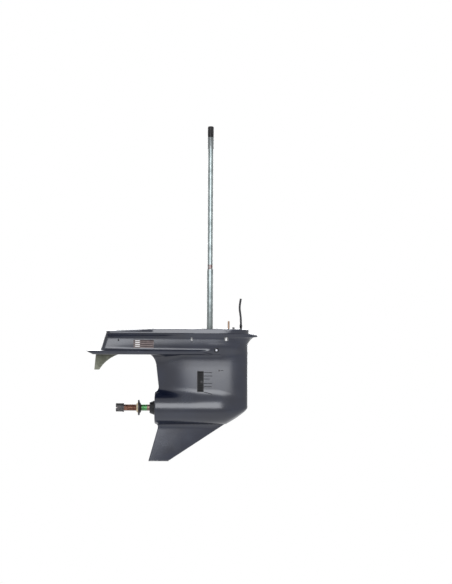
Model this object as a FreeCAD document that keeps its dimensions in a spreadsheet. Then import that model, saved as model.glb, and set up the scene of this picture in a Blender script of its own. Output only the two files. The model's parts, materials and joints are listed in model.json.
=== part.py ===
"""Outboard lower unit: a gearcase with its driveshaft, water pump, bevel gears,
shifting clutch and propeller shaft, as separate pieces.

Lengths are millimetres. +X points forward, +Y to port, +Z up. The origin is where
the driveshaft axis meets the flat deck that bolts to the leg above.
"""
import FreeCAD, Part
import math
import os
import re

import Sketcher
from FreeCAD import Placement, Rotation, Vector

SIZES = {
    # Deck, splash rib and upper body
    "deck_nose_x": 130.0, "deck_nose_radius": 34.0, "deck_half_width": 62.0,
    "deck_tail_x": -346.0, "deck_tail_half": 46.0, "widest_x": 10.0,
    "aft_step_x": -188.0, "aft_drop": 8.0, "front_step_x": 92.0, "front_drop": 5.0,
    "rib_top": 16.0, "rib_foot": 27.0, "rib_nose_x": 160.5, "rib_nose_radius": 7.0,
    "rib_overhang": 5.0, "beak_drop": 6.0,
    "neck_nose_x": 148.0, "throat_drop": 40.0, "throat_nose_x": 134.0, "shoulder_drop": 58.0,
    "neck_half_width": 60.0, "throat_half_width": 58.0, "shoulder_half_width": 53.0,
    "body_tail_slope": 0.30, "body_tail_half": 44.0,
    # Anti-ventilation plate
    "plate_top": 73.0, "plate_foot": 86.0, "plate_web": 6.5, "plate_rim": 6.0,
    "plate_tip_x": -411.0, "plate_half_width": 95.0, "plate_corner": 58.0,
    "plate_shoulder_x": -150.0, "plate_front_x": 22.0, "plate_front_half": 44.0,
    # Strut between the plate and the gear torpedo
    "front_edge_x": 127.0, "edge_radius": 8.0, "hip_half_width": 46.0,
    "strut_half_width": 38.0, "waist_drop": 104.0, "waist_half_width": 40.0,
    "strut_top": 125.0, "strut_tail_x": -184.3, "strut_tail_slope": 0.114,
    "strut_tail_half": 5.0, "plate_fillet": 22.0,
    # Gear torpedo and skeg
    "axis_drop": 265.0, "torpedo_radius": 54.0, "torpedo_aft_x": -183.6,
    "torpedo_chamfer": 3.0, "ogive_start_x": 10.0, "ogive_tip_x": 120.0,
    "skeg_corner_x": 111.0, "skeg_corner_drop": 280.0, "front_foot_rise": 13.0,
    "skeg_foot": 444.5, "skeg_foot_front_x": -138.0, "skeg_foot_aft_x": -204.0,
    "skeg_tail_x": -172.5, "skeg_tail_drop": 332.0,
    "skeg_root_half": 9.0, "skeg_foot_half": 3.5, "skeg_edge": 1.5,
    # Cavities of the gearcase
    "pump_well_radius": 50.0, "pump_well_floor": 66.0,
    "bearing_bore": 24.0, "bearing_bore_foot": 100.0, "shaft_tunnel": 13.0,
    "needle_bore": 17.0, "needle_top": 188.0, "needle_foot": 214.8, "pinion_pocket": 26.0,
    "torpedo_bore": 47.0, "gear_chamber_x": 28.0, "cup_seat_x": 45.9,
    "slide_bore": 13.15, "slide_bore_x": 84.0,
    "duct_front_x": -76.0, "duct_aft_x": -150.0, "duct_front_half": 24.0, "duct_aft_half": 9.0,
    "aft_bay_front_x": -186.0, "aft_bay_tail_x": -312.0, "aft_bay_half": 34.0,
    "aft_bay_floor": 65.0,
    "intake_aft_x": -41.5, "intake_front_x": -19.0, "intake_top": 141.0, "intake_foot": 211.0,
    "water_port_x": -32.0, "water_port_radius": 6.0,
    "louvre_aft_x": -254.0, "louvre_front_x": -184.0, "louvre_top": 37.5, "louvre_foot": 64.0,
    # Bolt holes of the deck
    "fore_bolt_front_x": 55.0, "fore_bolt_aft_x": -60.0, "fore_bolt_y": 50.0,
    "aft_bolt_x": -175.0, "aft_bolt_y": 44.0, "deck_bolt_radius": 4.5, "scallop_radius": 9.0,
    "scallop_foot": 44.0,
    # Driveshaft
    "shaft_top": 678.0, "shaft_radius": 10.0, "shaft_waist_radius": 8.5,
    "waist_top": 602.0, "waist_foot": 199.0, "shaft_crown": 5.0,
    "journal_radius": 12.0, "journal_top": 186.0, "pinion_back": 216.0, "pinion_seat_radius": 9.0,
    "pinion_foot": 237.0, "pinion_thread_radius": 6.5, "shaft_foot": 245.0,
    "shaft_spline_length": 36.0, "shaft_spline_depth": 1.4, "shaft_spline_half": 1.1,
    "shaft_spline_count": 13,
    "pinion_nut_height": 7.0, "pinion_nut_across": 18.0,
    # Water pump
    "key_half_width": 2.5, "key_inner": 7.5, "key_outer": 11.5, "key_top": 39.0, "key_foot": 51.0,
    "pump_flange_radius": 43.0, "seal_housing_top": 58.0, "gasket_thickness": 0.5,
    "wear_plate_thickness": 1.0, "impeller_gap": 0.3, "impeller_height": 19.0,
    "impeller_hub": 14.0, "impeller_radius": 22.5, "vane_half": 1.6, "vane_count": 6,
    "cup_radius": 28.0, "cup_wall": 2.0, "cup_offset": 1.2, "cup_height": 24.0,
    "pump_body_radius": 31.0, "pump_top": 14.0, "pump_flange_height": 7.0,
    "pump_shaft_hole": 11.5, "outlet_x": -38.0, "outlet_radius": 10.0, "outlet_bore": 6.0,
    "outlet_floor": 32.0, "grommet_height": 8.0, "grommet_wall": 3.0,
    "pump_bolt_circle": 37.0, "pump_bolt_radius": 3.0, "pump_bolt_head": 5.0,
    "pump_bolt_head_height": 4.5, "pump_bolt_depth": 14.0,
    "slinger_radius": 17.0, "slinger_foot": 11.0, "slinger_height": 5.0,
    # Bearings and seals of the driveshaft
    "upper_bearing_radius": 21.0, "upper_bearing_height": 15.0, "oil_seal_radius": 16.0,
    "oil_seal_height": 6.0, "seal_land": 12.5, "seal_floor": 76.0,
    "needle_shell_wall": 1.6, "needle_radius": 1.6, "needle_count": 14, "needle_play": 0.06,
    # Bevel gears, with their common apex on the torpedo axis
    "gear_pitch": 42.0, "pinion_pitch": 21.0, "gear_teeth": 26, "pinion_teeth": 13,
    "face_share": 0.30, "addendum": 2.3, "dedendum": 3.3, "tooth_root_half": 2.75,
    "tooth_tip_half": 1.0, "tooth_embed": 0.8,
    "gear_hub_radius": 19.0, "gear_hub_x": 45.0, "gear_back_x": 29.0, "gear_face_x": 14.5,
    "gear_bore_play": 0.1, "jaw_inner": 15.4, "jaw_outer": 18.5, "jaw_tip_x": 9.5,
    "jaw_half_angle": 10.5, "jaw_turn": 22.5,
    "cone_radius": 23.4, "roller_radius": 3.5, "roller_count": 12, "cup_inner": 31.0,
    "cup_outer": 37.5, "bearing_front_x": 45.3, "roller_play": 0.2,
    "reverse_bearing_radius": 34.0, "reverse_bearing_width": 14.0, "thrust_washer_width": 2.0,
    # Clutch and shift parts
    "clutch_travel": 5.5, "dog_ring_half": 3.5, "dog_half": 8.5, "dog_sleeve_radius": 15.0,
    "dog_play": 0.05, "cross_pin_radius": 2.0, "spring_groove": 1.0, "spring_half_width": 1.5,
    "rod_radius": 3.9, "rod_tail_x": -9.0, "rod_neck_radius": 3.0, "rod_neck_x": 49.0,
    "rod_head_x": 53.5, "rod_head_radius": 6.0, "rod_head_length": 4.0, "rod_play": 0.3,
    "slot_play": 0.15,
    "follower_aft_x": 51.0, "follower_front_x": 77.0, "follower_radius": 13.0,
    "shift_x": 63.0, "shift_stub_radius": 3.2, "shift_stub_top": 26.0, "shift_neck": 8.0,
    "shift_radius": 4.5, "crank_radius": 12.5, "crank_foot": 251.0, "crank_top": 241.0,
    "crank_offset": 9.0, "crank_pin_radius": 3.0, "crank_pin_foot": 268.0, "crank_pin_play": 0.35,
    "retainer_radius": 11.0, "retainer_foot": 20.0, "retainer_plate": 1.5,
    "retainer_screw_x": 79.0, "retainer_screw_radius": 2.5, "retainer_screw_head": 4.5,
    "retainer_screw_head_height": 5.0, "retainer_screw_depth": 12.0,
    "retainer_recess_play": 0.5,
    "shift_seal_radius": 8.0, "shift_seal_height": 6.0, "running_play": 0.05,
    # Propeller shaft and what it carries
    "prop_shaft_radius": 12.0, "prop_shaft_front_x": 43.5, "prop_step_x": -200.0,
    "prop_tail_radius": 10.5, "prop_thread_x": -286.0, "prop_thread_radius": 8.5,
    "prop_tail_x": -312.0, "rod_bore_x": -16.0, "rod_bore_radius": 4.2,
    "prop_spline_front_x": -244.0, "prop_spline_depth": 1.3, "prop_spline_half": 0.95,
    "prop_spline_count": 15,
    "thrust_front_x": -229.0, "thrust_rim_x": -236.0, "thrust_aft_x": -244.0,
    "thrust_radius": 26.0, "thrust_nose_radius": 15.0, "thrust_tail_radius": 18.0,
    "washer_width": 5.0, "washer_radius": 15.0, "prop_nut_across": 24.0,
    "prop_nut_width": 22.0, "castle_depth": 7.0, "castle_half": 1.8,
    "cotter_radius": 1.3, "cotter_half": 14.5, "cotter_x": -309.5,
    # Propeller shaft carrier
    "carrier_play": 0.1, "carrier_cup_front_x": -31.0, "carrier_cup_aft_x": -58.0,
    "carrier_tube_radius": 25.0, "carrier_ring_front_x": -168.0, "carrier_ring_aft_x": -177.0,
    "carrier_boss_x": -200.0, "carrier_boss_radius": 18.5, "carrier_bore": 12.8,
    "carrier_web_outer": 42.5, "carrier_window_angle": 30.0, "carrier_windows": 4,
    "needle_ring_radius": 15.5, "needle_ring_width": 18.0, "rear_needle_x": -150.0,
    "prop_seal_radius": 16.0, "prop_seal_width": 6.0, "prop_seal_floor_x": -184.0,
    "o_ring_groove": 2.5, "o_ring_width": 3.0, "o_ring_x": -52.0,
    "retainer_nut_inner": 41.0, "retainer_nut_aft_x": -183.0, "retainer_notch_half": 4.0,
    # Trim tab
    "tab_front_x": -301.0, "tab_aft_x": -381.0, "tab_foot": 138.6, "tab_foot_front_x": -369.5,
    "tab_foot_aft_x": -386.0, "tab_half": 4.5, "tab_base_half": 15.0, "tab_base_front_x": -297.0,
    "tab_base_aft_x": -386.0, "tab_bolt_x": -335.0, "tab_bolt_radius": 4.0, "tab_head_radius": 7.0,
    "tab_seat": 66.0, "tab_head_height": 6.0, "tab_curve_radius": 120.0,
    # Screens, grilles and plugs on the skin
    "screen_depth": 4.0, "screen_proud": 0.6, "screen_bar": 2.0, "screen_slot": 3.6,
    "screen_slots": 12, "screen_rail": 3.0, "screen_play": 0.15,
    "screen_screw_radius": 3.0, "screen_screw_reach": 6.0, "screen_screw_drop": 177.0,
    "screen_screw_x": -27.0,
    "grille_depth": 5.0, "grille_inset": 1.0, "grille_slats": 4, "grille_slot": 3.6,
    "level_plug_x": 23.0, "level_plug_drop": 71.0, "level_plug_seat": 45.5,
    "plug_head_radius": 6.5, "plug_shank_radius": 4.0, "plug_length": 12.0,
    "plug_head_height": 3.0, "plug_gasket": 1.0, "plug_spot_radius": 8.0,
    "drain_plug_x": 14.0, "drain_plug_seat": 51.5, "drain_plug_length": 6.0,
    "side_screw_x": 32.5, "side_screw_drop": 139.0, "side_screw_seat": 38.0,
    "side_screw_radius": 3.0, "side_screw_length": 9.0,
    # Speedometer fitting and hose
    "hose_x": 104.0, "fitting_radius": 4.0, "fitting_top": 15.0, "fitting_bead": 5.0,
    "fitting_shank": 12.0, "hose_radius": 3.5,
}

# Route of the hose above its fitting, as (x, z)
HOSE_ROUTE = [
    (104.0, 15.0),
    (104.0, 30.0),
    (102.4, 47.0),
    (99.6, 64.0),
    (99.9, 82.0),
    (103.5, 101.0),
]

doc = FreeCAD.newDocument("LowerUnit")
sheet = doc.addObject("Spreadsheet::Sheet", "Sizes")
for row, (word, size) in enumerate(SIZES.items(), 1):
    sheet.set(f"A{row}", word)
    sheet.set(f"B{row}", str(size))
    sheet.setAlias(f"B{row}", word)
doc.recompute()

pieces = {}


def bound(text):
    """Expression text with each size's word turned into its sheet cell."""
    return re.sub(
        r"[A-Za-z_]\w*",
        lambda found: "Sizes." + found.group(0) if found.group(0) in SIZES else found.group(0),
        str(text),
    )


def value(text):
    """Number that an expression over the sizes gives now."""
    result = sheet.evalExpression(bound(text))
    return float(getattr(result, "Value", result))


def bind(thing, **texts):
    """Bind properties of an object to expressions over the sizes."""
    for name, text in texts.items():
        thing.setExpression(name.replace("__", "."), bound(text))


def place(thing, x="0", y="0", z="0"):
    """Bind where an object's own origin lies."""
    for axis, text in zip("xyz", (x, y, z)):
        if text != "0":
            thing.setExpression(f"Placement.Base.{axis}", bound(text))


def piece(name, thing):
    """Keep an object as a finished sub-part under its own name."""
    thing.Label = name
    pieces[name] = thing
    return thing


def new_body(name):
    """Empty PartDesign body that becomes the named sub-part."""
    return piece(name, doc.addObject("PartDesign::Body", "Body_" + name))


class Arc:
    """Arc between two corners of an outline, round a centre, left or right turning."""

    def __init__(self, x, y, left=True):
        self.x, self.y, self.left = x, y, left


def attach(sketch, body, plane, at, turn):
    """Attach a sketch to one of its body's origin planes, shifted and tilted."""
    face = next(item for item in body.Origin.OriginFeatures if item.Role == plane)
    sketch.AttachmentSupport = (face, [""])
    sketch.MapMode = "FlatFace"
    if turn:
        sketch.AttachmentOffset = Placement(Vector(), Rotation(Vector(1, 0, 0), value(turn)))
    for axis, text in zip("xyz", at):
        if text != "0":
            sketch.setExpression(f"AttachmentOffset.Base.{axis}", bound(text))


def outline_sketch(body, plane, outline, at=("0", "0", "0"), turn=None):
    """Closed sketch of lines and arcs whose corners are expressions over the sizes."""
    corners = [item for item in outline if not isinstance(item, Arc)]
    arcs = {}
    seen = -1
    for item in outline:
        if isinstance(item, Arc):
            arcs[seen] = item
        else:
            seen += 1
    sketch = body.newObject("Sketcher::SketchObject", "Outline")
    attach(sketch, body, plane, at, turn)
    points = [Vector(value(x), value(y), 0) for x, y in corners]
    count = len(points)
    edges, ends = [], []
    for index, start in enumerate(points):
        stop = points[(index + 1) % count]
        arc = arcs.get(index)
        if arc is None:
            edges.append(Part.LineSegment(start, stop))
            ends.append((1, 2))
            continue
        centre = Vector(value(arc.x), value(arc.y), 0)
        first, last = (start, stop) if arc.left else (stop, start)
        angles = [math.atan2(p.y - centre.y, p.x - centre.x) for p in (first, last)]
        circle = Part.Circle(centre, Vector(0, 0, 1), (start - centre).Length)
        edges.append(Part.ArcOfCircle(circle, angles[0], angles[1]))
        ends.append((1, 2) if arc.left else (2, 1))
    sketch.addGeometry(edges, False)
    rules = []
    for index in range(count):
        after = (index + 1) % count
        rules.append(Sketcher.Constraint("Coincident", index, ends[index][1], after, ends[after][0]))
    bindings = []
    for index, (x, y) in enumerate(corners):
        for kind, text, size in (("DistanceX", x, points[index].x), ("DistanceY", y, points[index].y)):
            bindings.append((len(rules), text))
            rules.append(Sketcher.Constraint(kind, index, ends[index][0], size))
    for index, arc in arcs.items():
        chord = points[(index + 1) % count] - points[index]
        across = abs(chord.x) > abs(chord.y)
        kind, text = ("DistanceY", arc.y) if across else ("DistanceX", arc.x)
        bindings.append((len(rules), text))
        rules.append(Sketcher.Constraint(kind, index, 3, value(text)))
    sketch.addConstraint(rules)
    for number, text in bindings:
        sketch.setExpression(f"Constraints[{number}]", bound(text))
    return sketch


def circle_sketch(body, plane, circles, at=("0", "0", "0")):
    """Sketch of full circles, each as (x, y, radius) in expressions."""
    sketch = body.newObject("Sketcher::SketchObject", "Circles")
    attach(sketch, body, plane, at, None)
    for index, (x, y, radius) in enumerate(circles):
        sketch.addGeometry(Part.Circle(Vector(value(x), value(y), 0), Vector(0, 0, 1), value(radius)))
        first = sketch.ConstraintCount
        sketch.addConstraint([
            Sketcher.Constraint("DistanceX", index, 3, value(x)),
            Sketcher.Constraint("DistanceY", index, 3, value(y)),
            Sketcher.Constraint("Radius", index, value(radius)),
        ])
        for number, text in enumerate((x, y, radius), first):
            sketch.setExpression(f"Constraints[{number}]", bound(text))
    return sketch


def extrude(body, kind, sketch, length, reverse=False, symmetric=False, refine=True):
    """Pad or pocket of a sketch by a bound length."""
    feature = body.newObject("PartDesign::" + kind, kind)
    feature.Refine = refine
    feature.Profile = sketch
    feature.Reversed = reverse
    if symmetric:
        feature.SideType = "Symmetric"
    bind(feature, Length=length)
    doc.recompute([feature, body])
    return feature


def pad(body, sketch, length, **options):
    """Solid on a sketch."""
    return extrude(body, "Pad", sketch, length, **options)


def pocket(body, sketch, length, **options):
    """Cut from a sketch, which must take something away."""
    before = body.Shape.Volume
    feature = extrude(body, "Pocket", sketch, length, **options)
    if body.Shape.Volume > before - 0.01:
        raise RuntimeError(f"{body.Label}: a pocket cuts nothing")
    return feature


def spin(body, kind, sketch, axis, refine=True):
    """Full turn of a sketch about its own horizontal or vertical axis."""
    before = body.Shape.Volume if kind == "Groove" else 0.0
    feature = body.newObject("PartDesign::" + kind, kind)
    feature.Profile = sketch
    feature.Refine = refine
    feature.ReferenceAxis = (sketch, [axis])
    feature.Angle = 360
    doc.recompute([feature, body])
    if kind == "Groove" and body.Shape.Volume > before - 0.01:
        raise RuntimeError(f"{body.Label}: a groove cuts nothing")
    return feature


def loft(body, kind, sketches, ruled=True, refine=True):
    """Additive or subtractive loft through sketches."""
    feature = body.newObject("PartDesign::" + kind, kind)
    feature.Refine = refine
    feature.Profile = sketches[0]
    feature.Sections = sketches[1:]
    feature.Ruled = ruled
    doc.recompute([feature, body])
    return feature


def around(body, features, sketch, axis, count, refine=True):
    """Copies of features round a sketch's axis."""
    pattern = body.newObject("PartDesign::PolarPattern", "Pattern")
    pattern.Refine = refine
    pattern.Originals = features
    pattern.Axis = (sketch, [axis])
    pattern.Angle = 360
    bind(pattern, Occurrences=count)
    body.Tip = pattern
    doc.recompute([pattern, body])
    return pattern


def along(body, features, sketch, axis, length, count, reverse=False):
    """Copies of features in a row along a sketch's axis."""
    pattern = body.newObject("PartDesign::LinearPattern", "Row")
    pattern.Originals = features
    pattern.Direction = (sketch, [axis])
    pattern.Reversed = reverse
    bind(pattern, Length=length, Occurrences=count)
    body.Tip = pattern
    doc.recompute([pattern, body])
    return pattern


def turned(name, axis, outline, x="0", y="0", z="0", plane="XZ_Plane"):
    """Turned piece: an outline in one plane spun about its V_Axis or H_Axis."""
    body = new_body(name)
    sketch = outline_sketch(body, plane, outline)
    spin(body, "Revolution", sketch, axis)
    place(body, x, y, z)
    return body, sketch


def ring(axis, start, stop, inner, outer):
    """Outline of a plain ring between two stations along its axis."""
    if axis == "V_Axis":
        return [(inner, start), (outer, start), (outer, stop), (inner, stop)]
    return [(start, inner), (stop, inner), (stop, outer), (start, outer)]


def group(name, members):
    """Several alike solids kept as one sub-part."""
    together = doc.addObject("Part::Compound", "Group_" + name)
    together.Links = members
    return piece(name, together)


def cylinder(radius, height, direction, x="0", y="0", z="0"):
    """Part cylinder along X, Y or Z from a bound start point."""
    rod = doc.addObject("Part::Cylinder", "Rod")
    turns = {
        "X": Rotation(Vector(0, 1, 0), 90),
        "Y": Rotation(Vector(1, 0, 0), -90),
        "-Y": Rotation(Vector(1, 0, 0), 90),
        "Z": Rotation(),
    }
    rod.Placement = Placement(Vector(), turns[direction])
    bind(rod, Radius=radius, Height=height)
    place(rod, x, y, z)
    return rod


def foil(nose_x, nose_radius, half_width, tail_x, tail_half):
    """Plan outline with a round nose, its greatest width at widest_x and a cut tail."""
    reach = f"({nose_x} - {nose_radius} - widest_x)"
    front = f"(({reach}^2 + ({half_width})^2 - ({nose_radius})^2) / (2 * ({half_width} - {nose_radius})))"
    taper = f"({half_width} - ({tail_half}))"
    back = f"(((widest_x - ({tail_x}))^2 + {taper}^2) / (2 * {taper}))"
    touch_x = f"widest_x + {reach} * {front} / ({front} - {nose_radius})"
    touch_y = f"({front} - {half_width}) * {nose_radius} / ({front} - {nose_radius})"
    return [
        (touch_x, f"-({touch_y})"), Arc(f"{nose_x} - {nose_radius}", "0"),
        (touch_x, touch_y), Arc("widest_x", f"{half_width} - {front}"),
        ("widest_x", half_width), Arc("widest_x", f"{half_width} - {back}"),
        (tail_x, tail_half), (tail_x, f"-({tail_half})"),
        Arc("widest_x", f"{back} - {half_width}"),
        ("widest_x", f"-({half_width})"), Arc("widest_x", f"{front} - {half_width}"),
    ]


def level(drop):
    """Shift of a horizontal sketch below the deck."""
    return ("0", "0", f"-({drop})")


def body_tail(drop):
    """Station of the upper body's aft edge at a drop below the deck."""
    return f"deck_tail_x - body_tail_slope * ({drop} - rib_top)"


def strut_tail(drop):
    """Station of the strut's trailing edge at a drop below the deck."""
    return f"strut_tail_x + strut_tail_slope * ({drop} - plate_top)"


def skeg_nose(drop):
    """Station of the skeg's leading edge at a drop below the deck."""
    run = "(skeg_foot_front_x - skeg_corner_x) / (skeg_foot - skeg_corner_drop)"
    return f"skeg_corner_x + {run} * ({drop} - skeg_corner_drop)"


def skeg_tail(drop):
    """Station of the skeg's trailing edge at a drop below the deck."""
    run = "(skeg_foot_aft_x - skeg_tail_x) / (skeg_foot - skeg_tail_drop)"
    return f"skeg_tail_x + {run} * ({drop} - skeg_tail_drop)"


def gearcase_skin(body):
    """Outside of the gearcase: plate, deck, body, strut, torpedo and skeg."""
    plate = outline_sketch(body, "XY_Plane", [
        ("plate_front_x", "-plate_front_half"), ("plate_front_x", "plate_front_half"),
        ("plate_shoulder_x", "plate_half_width"),
        ("plate_tip_x + plate_corner", "plate_half_width"),
        Arc("plate_tip_x + plate_corner", "plate_half_width - plate_corner"),
        ("plate_tip_x", "plate_half_width - plate_corner"),
        ("plate_tip_x", "plate_corner - plate_half_width"),
        Arc("plate_tip_x + plate_corner", "plate_corner - plate_half_width"),
        ("plate_tip_x + plate_corner", "-plate_half_width"),
        ("plate_shoulder_x", "-plate_half_width"),
    ], level("plate_foot"))
    pad(body, plate, "plate_foot - plate_top")
    rim = "plate_rim"
    recess = outline_sketch(body, "XY_Plane", [
        ("plate_front_x", f"-(plate_front_half - {rim})"),
        ("plate_front_x", f"plate_front_half - {rim}"),
        ("plate_shoulder_x", f"plate_half_width - {rim}"),
        ("plate_tip_x + plate_corner", f"plate_half_width - {rim}"),
        Arc("plate_tip_x + plate_corner", "plate_half_width - plate_corner"),
        (f"plate_tip_x + {rim}", "plate_half_width - plate_corner"),
        (f"plate_tip_x + {rim}", "plate_corner - plate_half_width"),
        Arc("plate_tip_x + plate_corner", "plate_corner - plate_half_width"),
        ("plate_tip_x + plate_corner", f"-(plate_half_width - {rim})"),
        ("plate_shoulder_x", f"-(plate_half_width - {rim})"),
    ], level("plate_foot"))
    pocket(body, recess, "plate_foot - plate_top - plate_web", reverse=True)
    deck = outline_sketch(body, "XY_Plane", foil(
        "deck_nose_x", "deck_nose_radius", "deck_half_width", "deck_tail_x", "deck_tail_half"))
    pad(body, deck, "rib_top", reverse=True)
    rib = outline_sketch(body, "XY_Plane", foil(
        "rib_nose_x", "rib_nose_radius", "(deck_half_width + rib_overhang)",
        "deck_tail_x", "(deck_tail_half + rib_overhang)"), level("rib_top"))
    pad(body, rib, "rib_foot - rib_top", reverse=True)
    stations = [
        ("rib_foot", "neck_nose_x", "neck_half_width"),
        ("throat_drop", "throat_nose_x", "throat_half_width"),
        ("shoulder_drop", "front_edge_x", "shoulder_half_width"),
        ("plate_top", "front_edge_x", "hip_half_width"),
    ]
    loft(body, "AdditiveLoft", [
        outline_sketch(body, "XY_Plane", foil(
            nose, "edge_radius", width, body_tail(drop), "body_tail_half"), level(drop))
        for drop, nose, width in stations
    ])
    hips = [("plate_top", "hip_half_width"), ("waist_drop", "waist_half_width"),
            ("strut_top", "strut_half_width"), ("skeg_corner_drop", "strut_half_width")]
    loft(body, "AdditiveLoft", [
        outline_sketch(body, "XY_Plane", foil(
            "front_edge_x", "edge_radius", width, strut_tail(drop), "strut_tail_half"), level(drop))
        for drop, width in hips
    ])
    gusset = outline_sketch(body, "XZ_Plane", [
        (f"{strut_tail('plate_foot')} - plate_fillet", "-plate_foot"),
        Arc(f"{strut_tail('plate_foot')} - plate_fillet", "-plate_foot - plate_fillet", left=False),
        (strut_tail("plate_foot"), "-plate_foot - plate_fillet"),
        (f"{strut_tail('plate_foot')} + plate_fillet", "-plate_foot - plate_fillet"),
        (f"{strut_tail('plate_foot')} + plate_fillet", "-plate_foot"),
    ])
    pad(body, gusset, "2 * strut_tail_half", symmetric=True)
    corner = outline_sketch(body, "XZ_Plane", [
        ("front_edge_x + edge_radius", "front_foot_rise - skeg_corner_drop"),
        ("front_edge_x", "front_foot_rise - skeg_corner_drop"),
        ("skeg_corner_x", "-skeg_corner_drop"),
        ("skeg_corner_x", "-skeg_corner_drop - edge_radius"),
        ("front_edge_x + edge_radius", "-skeg_corner_drop - edge_radius"),
    ])
    pocket(body, corner, "4 * edge_radius", symmetric=True)
    span = "(ogive_tip_x - ogive_start_x)"
    curve = f"(({span}^2 + torpedo_radius^2) / (2 * torpedo_radius))"
    torpedo = outline_sketch(body, "XZ_Plane", [
        ("torpedo_aft_x", "0"), ("ogive_tip_x", "0"), Arc("ogive_start_x", f"torpedo_radius - {curve}"),
        ("ogive_start_x", "torpedo_radius"),
        ("torpedo_aft_x + torpedo_chamfer", "torpedo_radius"),
        ("torpedo_aft_x", "torpedo_radius - torpedo_chamfer"),
    ], ("0", "-axis_drop", "0"))
    spin(body, "Revolution", torpedo, "H_Axis")
    skeg = []
    for drop, half in (("axis_drop", "skeg_root_half"), ("skeg_foot", "skeg_foot_half")):
        nose, tail = skeg_nose(drop), skeg_tail(drop)
        if drop == "axis_drop":
            nose = "skeg_corner_x"
        middle = f"(0.4 * ({nose}) + 0.6 * ({tail}))"
        skeg.append(outline_sketch(body, "XY_Plane", [
            (nose, "-skeg_edge"), (nose, "skeg_edge"), (middle, half),
            (tail, "skeg_edge"), (tail, "-skeg_edge"), (middle, f"-({half})"),
        ], level(drop)))
    loft(body, "AdditiveLoft", skeg)


def gearcase_wells(body):
    """Bores and cavities that the gearcase is machined and cast with."""
    aft = outline_sketch(body, "XZ_Plane", [
        ("aft_step_x", "0"), ("aft_step_x", "-0.1 * aft_drop"), ("deck_tail_x - 1", "-aft_drop"),
        ("deck_tail_x - 1", "1"), ("aft_step_x", "1"),
    ])
    pocket(body, aft, "3 * deck_half_width", symmetric=True)
    fore = outline_sketch(body, "XZ_Plane", [
        ("front_step_x", "0"), ("rib_nose_x + 1", "-front_drop"),
        ("rib_nose_x + 1", "1"), ("front_step_x", "1"),
    ])
    pocket(body, fore, "3 * deck_half_width", symmetric=True)
    beak = outline_sketch(body, "XZ_Plane", [
        ("deck_nose_x", "-rib_top"), ("rib_nose_x + 1", "-rib_top - beak_drop"),
        ("rib_nose_x + 1", "0"), ("deck_nose_x", "0"),
    ])
    pocket(body, beak, "3 * deck_half_width", symmetric=True)
    shaft_way = outline_sketch(body, "XZ_Plane", [
        ("0", "1"), ("pump_well_radius", "1"), ("pump_well_radius", "-pump_well_floor"),
        ("bearing_bore", "-pump_well_floor"), ("bearing_bore", "-bearing_bore_foot"),
        ("shaft_tunnel", "-bearing_bore_foot"), ("shaft_tunnel", "-needle_top"),
        ("needle_bore", "-needle_top"), ("needle_bore", "-needle_foot"),
        ("pinion_pocket", "-needle_foot"), ("pinion_pocket", "-axis_drop"), ("0", "-axis_drop"),
    ])
    spin(body, "Groove", shaft_way, "V_Axis")
    torpedo_way = outline_sketch(body, "XZ_Plane", [
        ("torpedo_aft_x - 1", "0"), ("slide_bore_x", "0"), ("slide_bore_x", "slide_bore"),
        ("cup_seat_x", "slide_bore"), ("cup_seat_x", "cup_outer"),
        ("gear_chamber_x", "cup_outer"), ("gear_chamber_x", "torpedo_bore"),
        ("torpedo_aft_x - 1", "torpedo_bore"),
    ], ("0", "-axis_drop", "0"))
    spin(body, "Groove", torpedo_way, "H_Axis")
    shift_way = outline_sketch(body, "XZ_Plane", [
        ("0", "1"), ("retainer_radius", "1"), ("retainer_radius", "-retainer_foot"),
        ("shift_seal_radius", "-retainer_foot"),
        ("shift_seal_radius", "-retainer_foot - shift_seal_height"),
        ("shift_radius + running_play", "-retainer_foot - shift_seal_height"),
        ("shift_radius + running_play", "-crank_top + 1"), ("slide_bore", "-crank_top + 1"),
        ("slide_bore", "-axis_drop"), ("0", "-axis_drop"),
    ], ("shift_x", "0", "0"))
    spin(body, "Groove", shift_way, "V_Axis")
    duct = outline_sketch(body, "XY_Plane", [
        ("duct_front_x", "-duct_front_half"), ("duct_front_x", "duct_front_half"),
        ("duct_aft_x", "duct_aft_half"), ("duct_aft_x", "-duct_aft_half"),
    ], ("0", "0", "1"))
    pocket(body, duct, "axis_drop - torpedo_bore / 2")
    bay = outline_sketch(body, "XY_Plane", [
        ("aft_bay_front_x", "-aft_bay_half"), ("aft_bay_front_x", "aft_bay_half"),
        ("aft_bay_tail_x", "aft_bay_half"), ("aft_bay_tail_x", "-aft_bay_half"),
    ], ("0", "0", "1"))
    pocket(body, bay, "aft_bay_floor + 1")
    intake = outline_sketch(body, "XZ_Plane", [
        ("intake_aft_x", "-intake_foot"), ("intake_front_x", "-intake_foot"),
        ("intake_front_x", "-intake_top"), ("intake_aft_x", "-intake_top"),
    ])
    pocket(body, intake, "3 * strut_half_width", symmetric=True)
    riser = circle_sketch(body, "XY_Plane", [("water_port_x", "0", "water_port_radius")],
                          level("pump_well_floor"))
    pocket(body, riser, "intake_top - pump_well_floor + 1")
    louvre = outline_sketch(body, "XZ_Plane", [
        ("louvre_aft_x", "-louvre_foot"), ("louvre_front_x - 2", "-louvre_foot"),
        ("louvre_front_x - 2", "-louvre_top"), ("louvre_aft_x", "-louvre_top"),
    ])
    pocket(body, louvre, "3 * deck_half_width", symmetric=True)


def tongue_sketch(body, play, x, drop):
    """Round-ended tongue of the shift retainer, grown by a play all round."""
    half = f"(retainer_screw_head + 1 + {play})"
    return outline_sketch(body, "XY_Plane", [
        ("retainer_radius - 3", f"-{half}"), ("retainer_screw_x - shift_x", f"-{half}"),
        Arc("retainer_screw_x - shift_x", "0"),
        ("retainer_screw_x - shift_x", half), ("retainer_radius - 3", half),
    ], (x, "0", f"-({drop})"))


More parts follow.
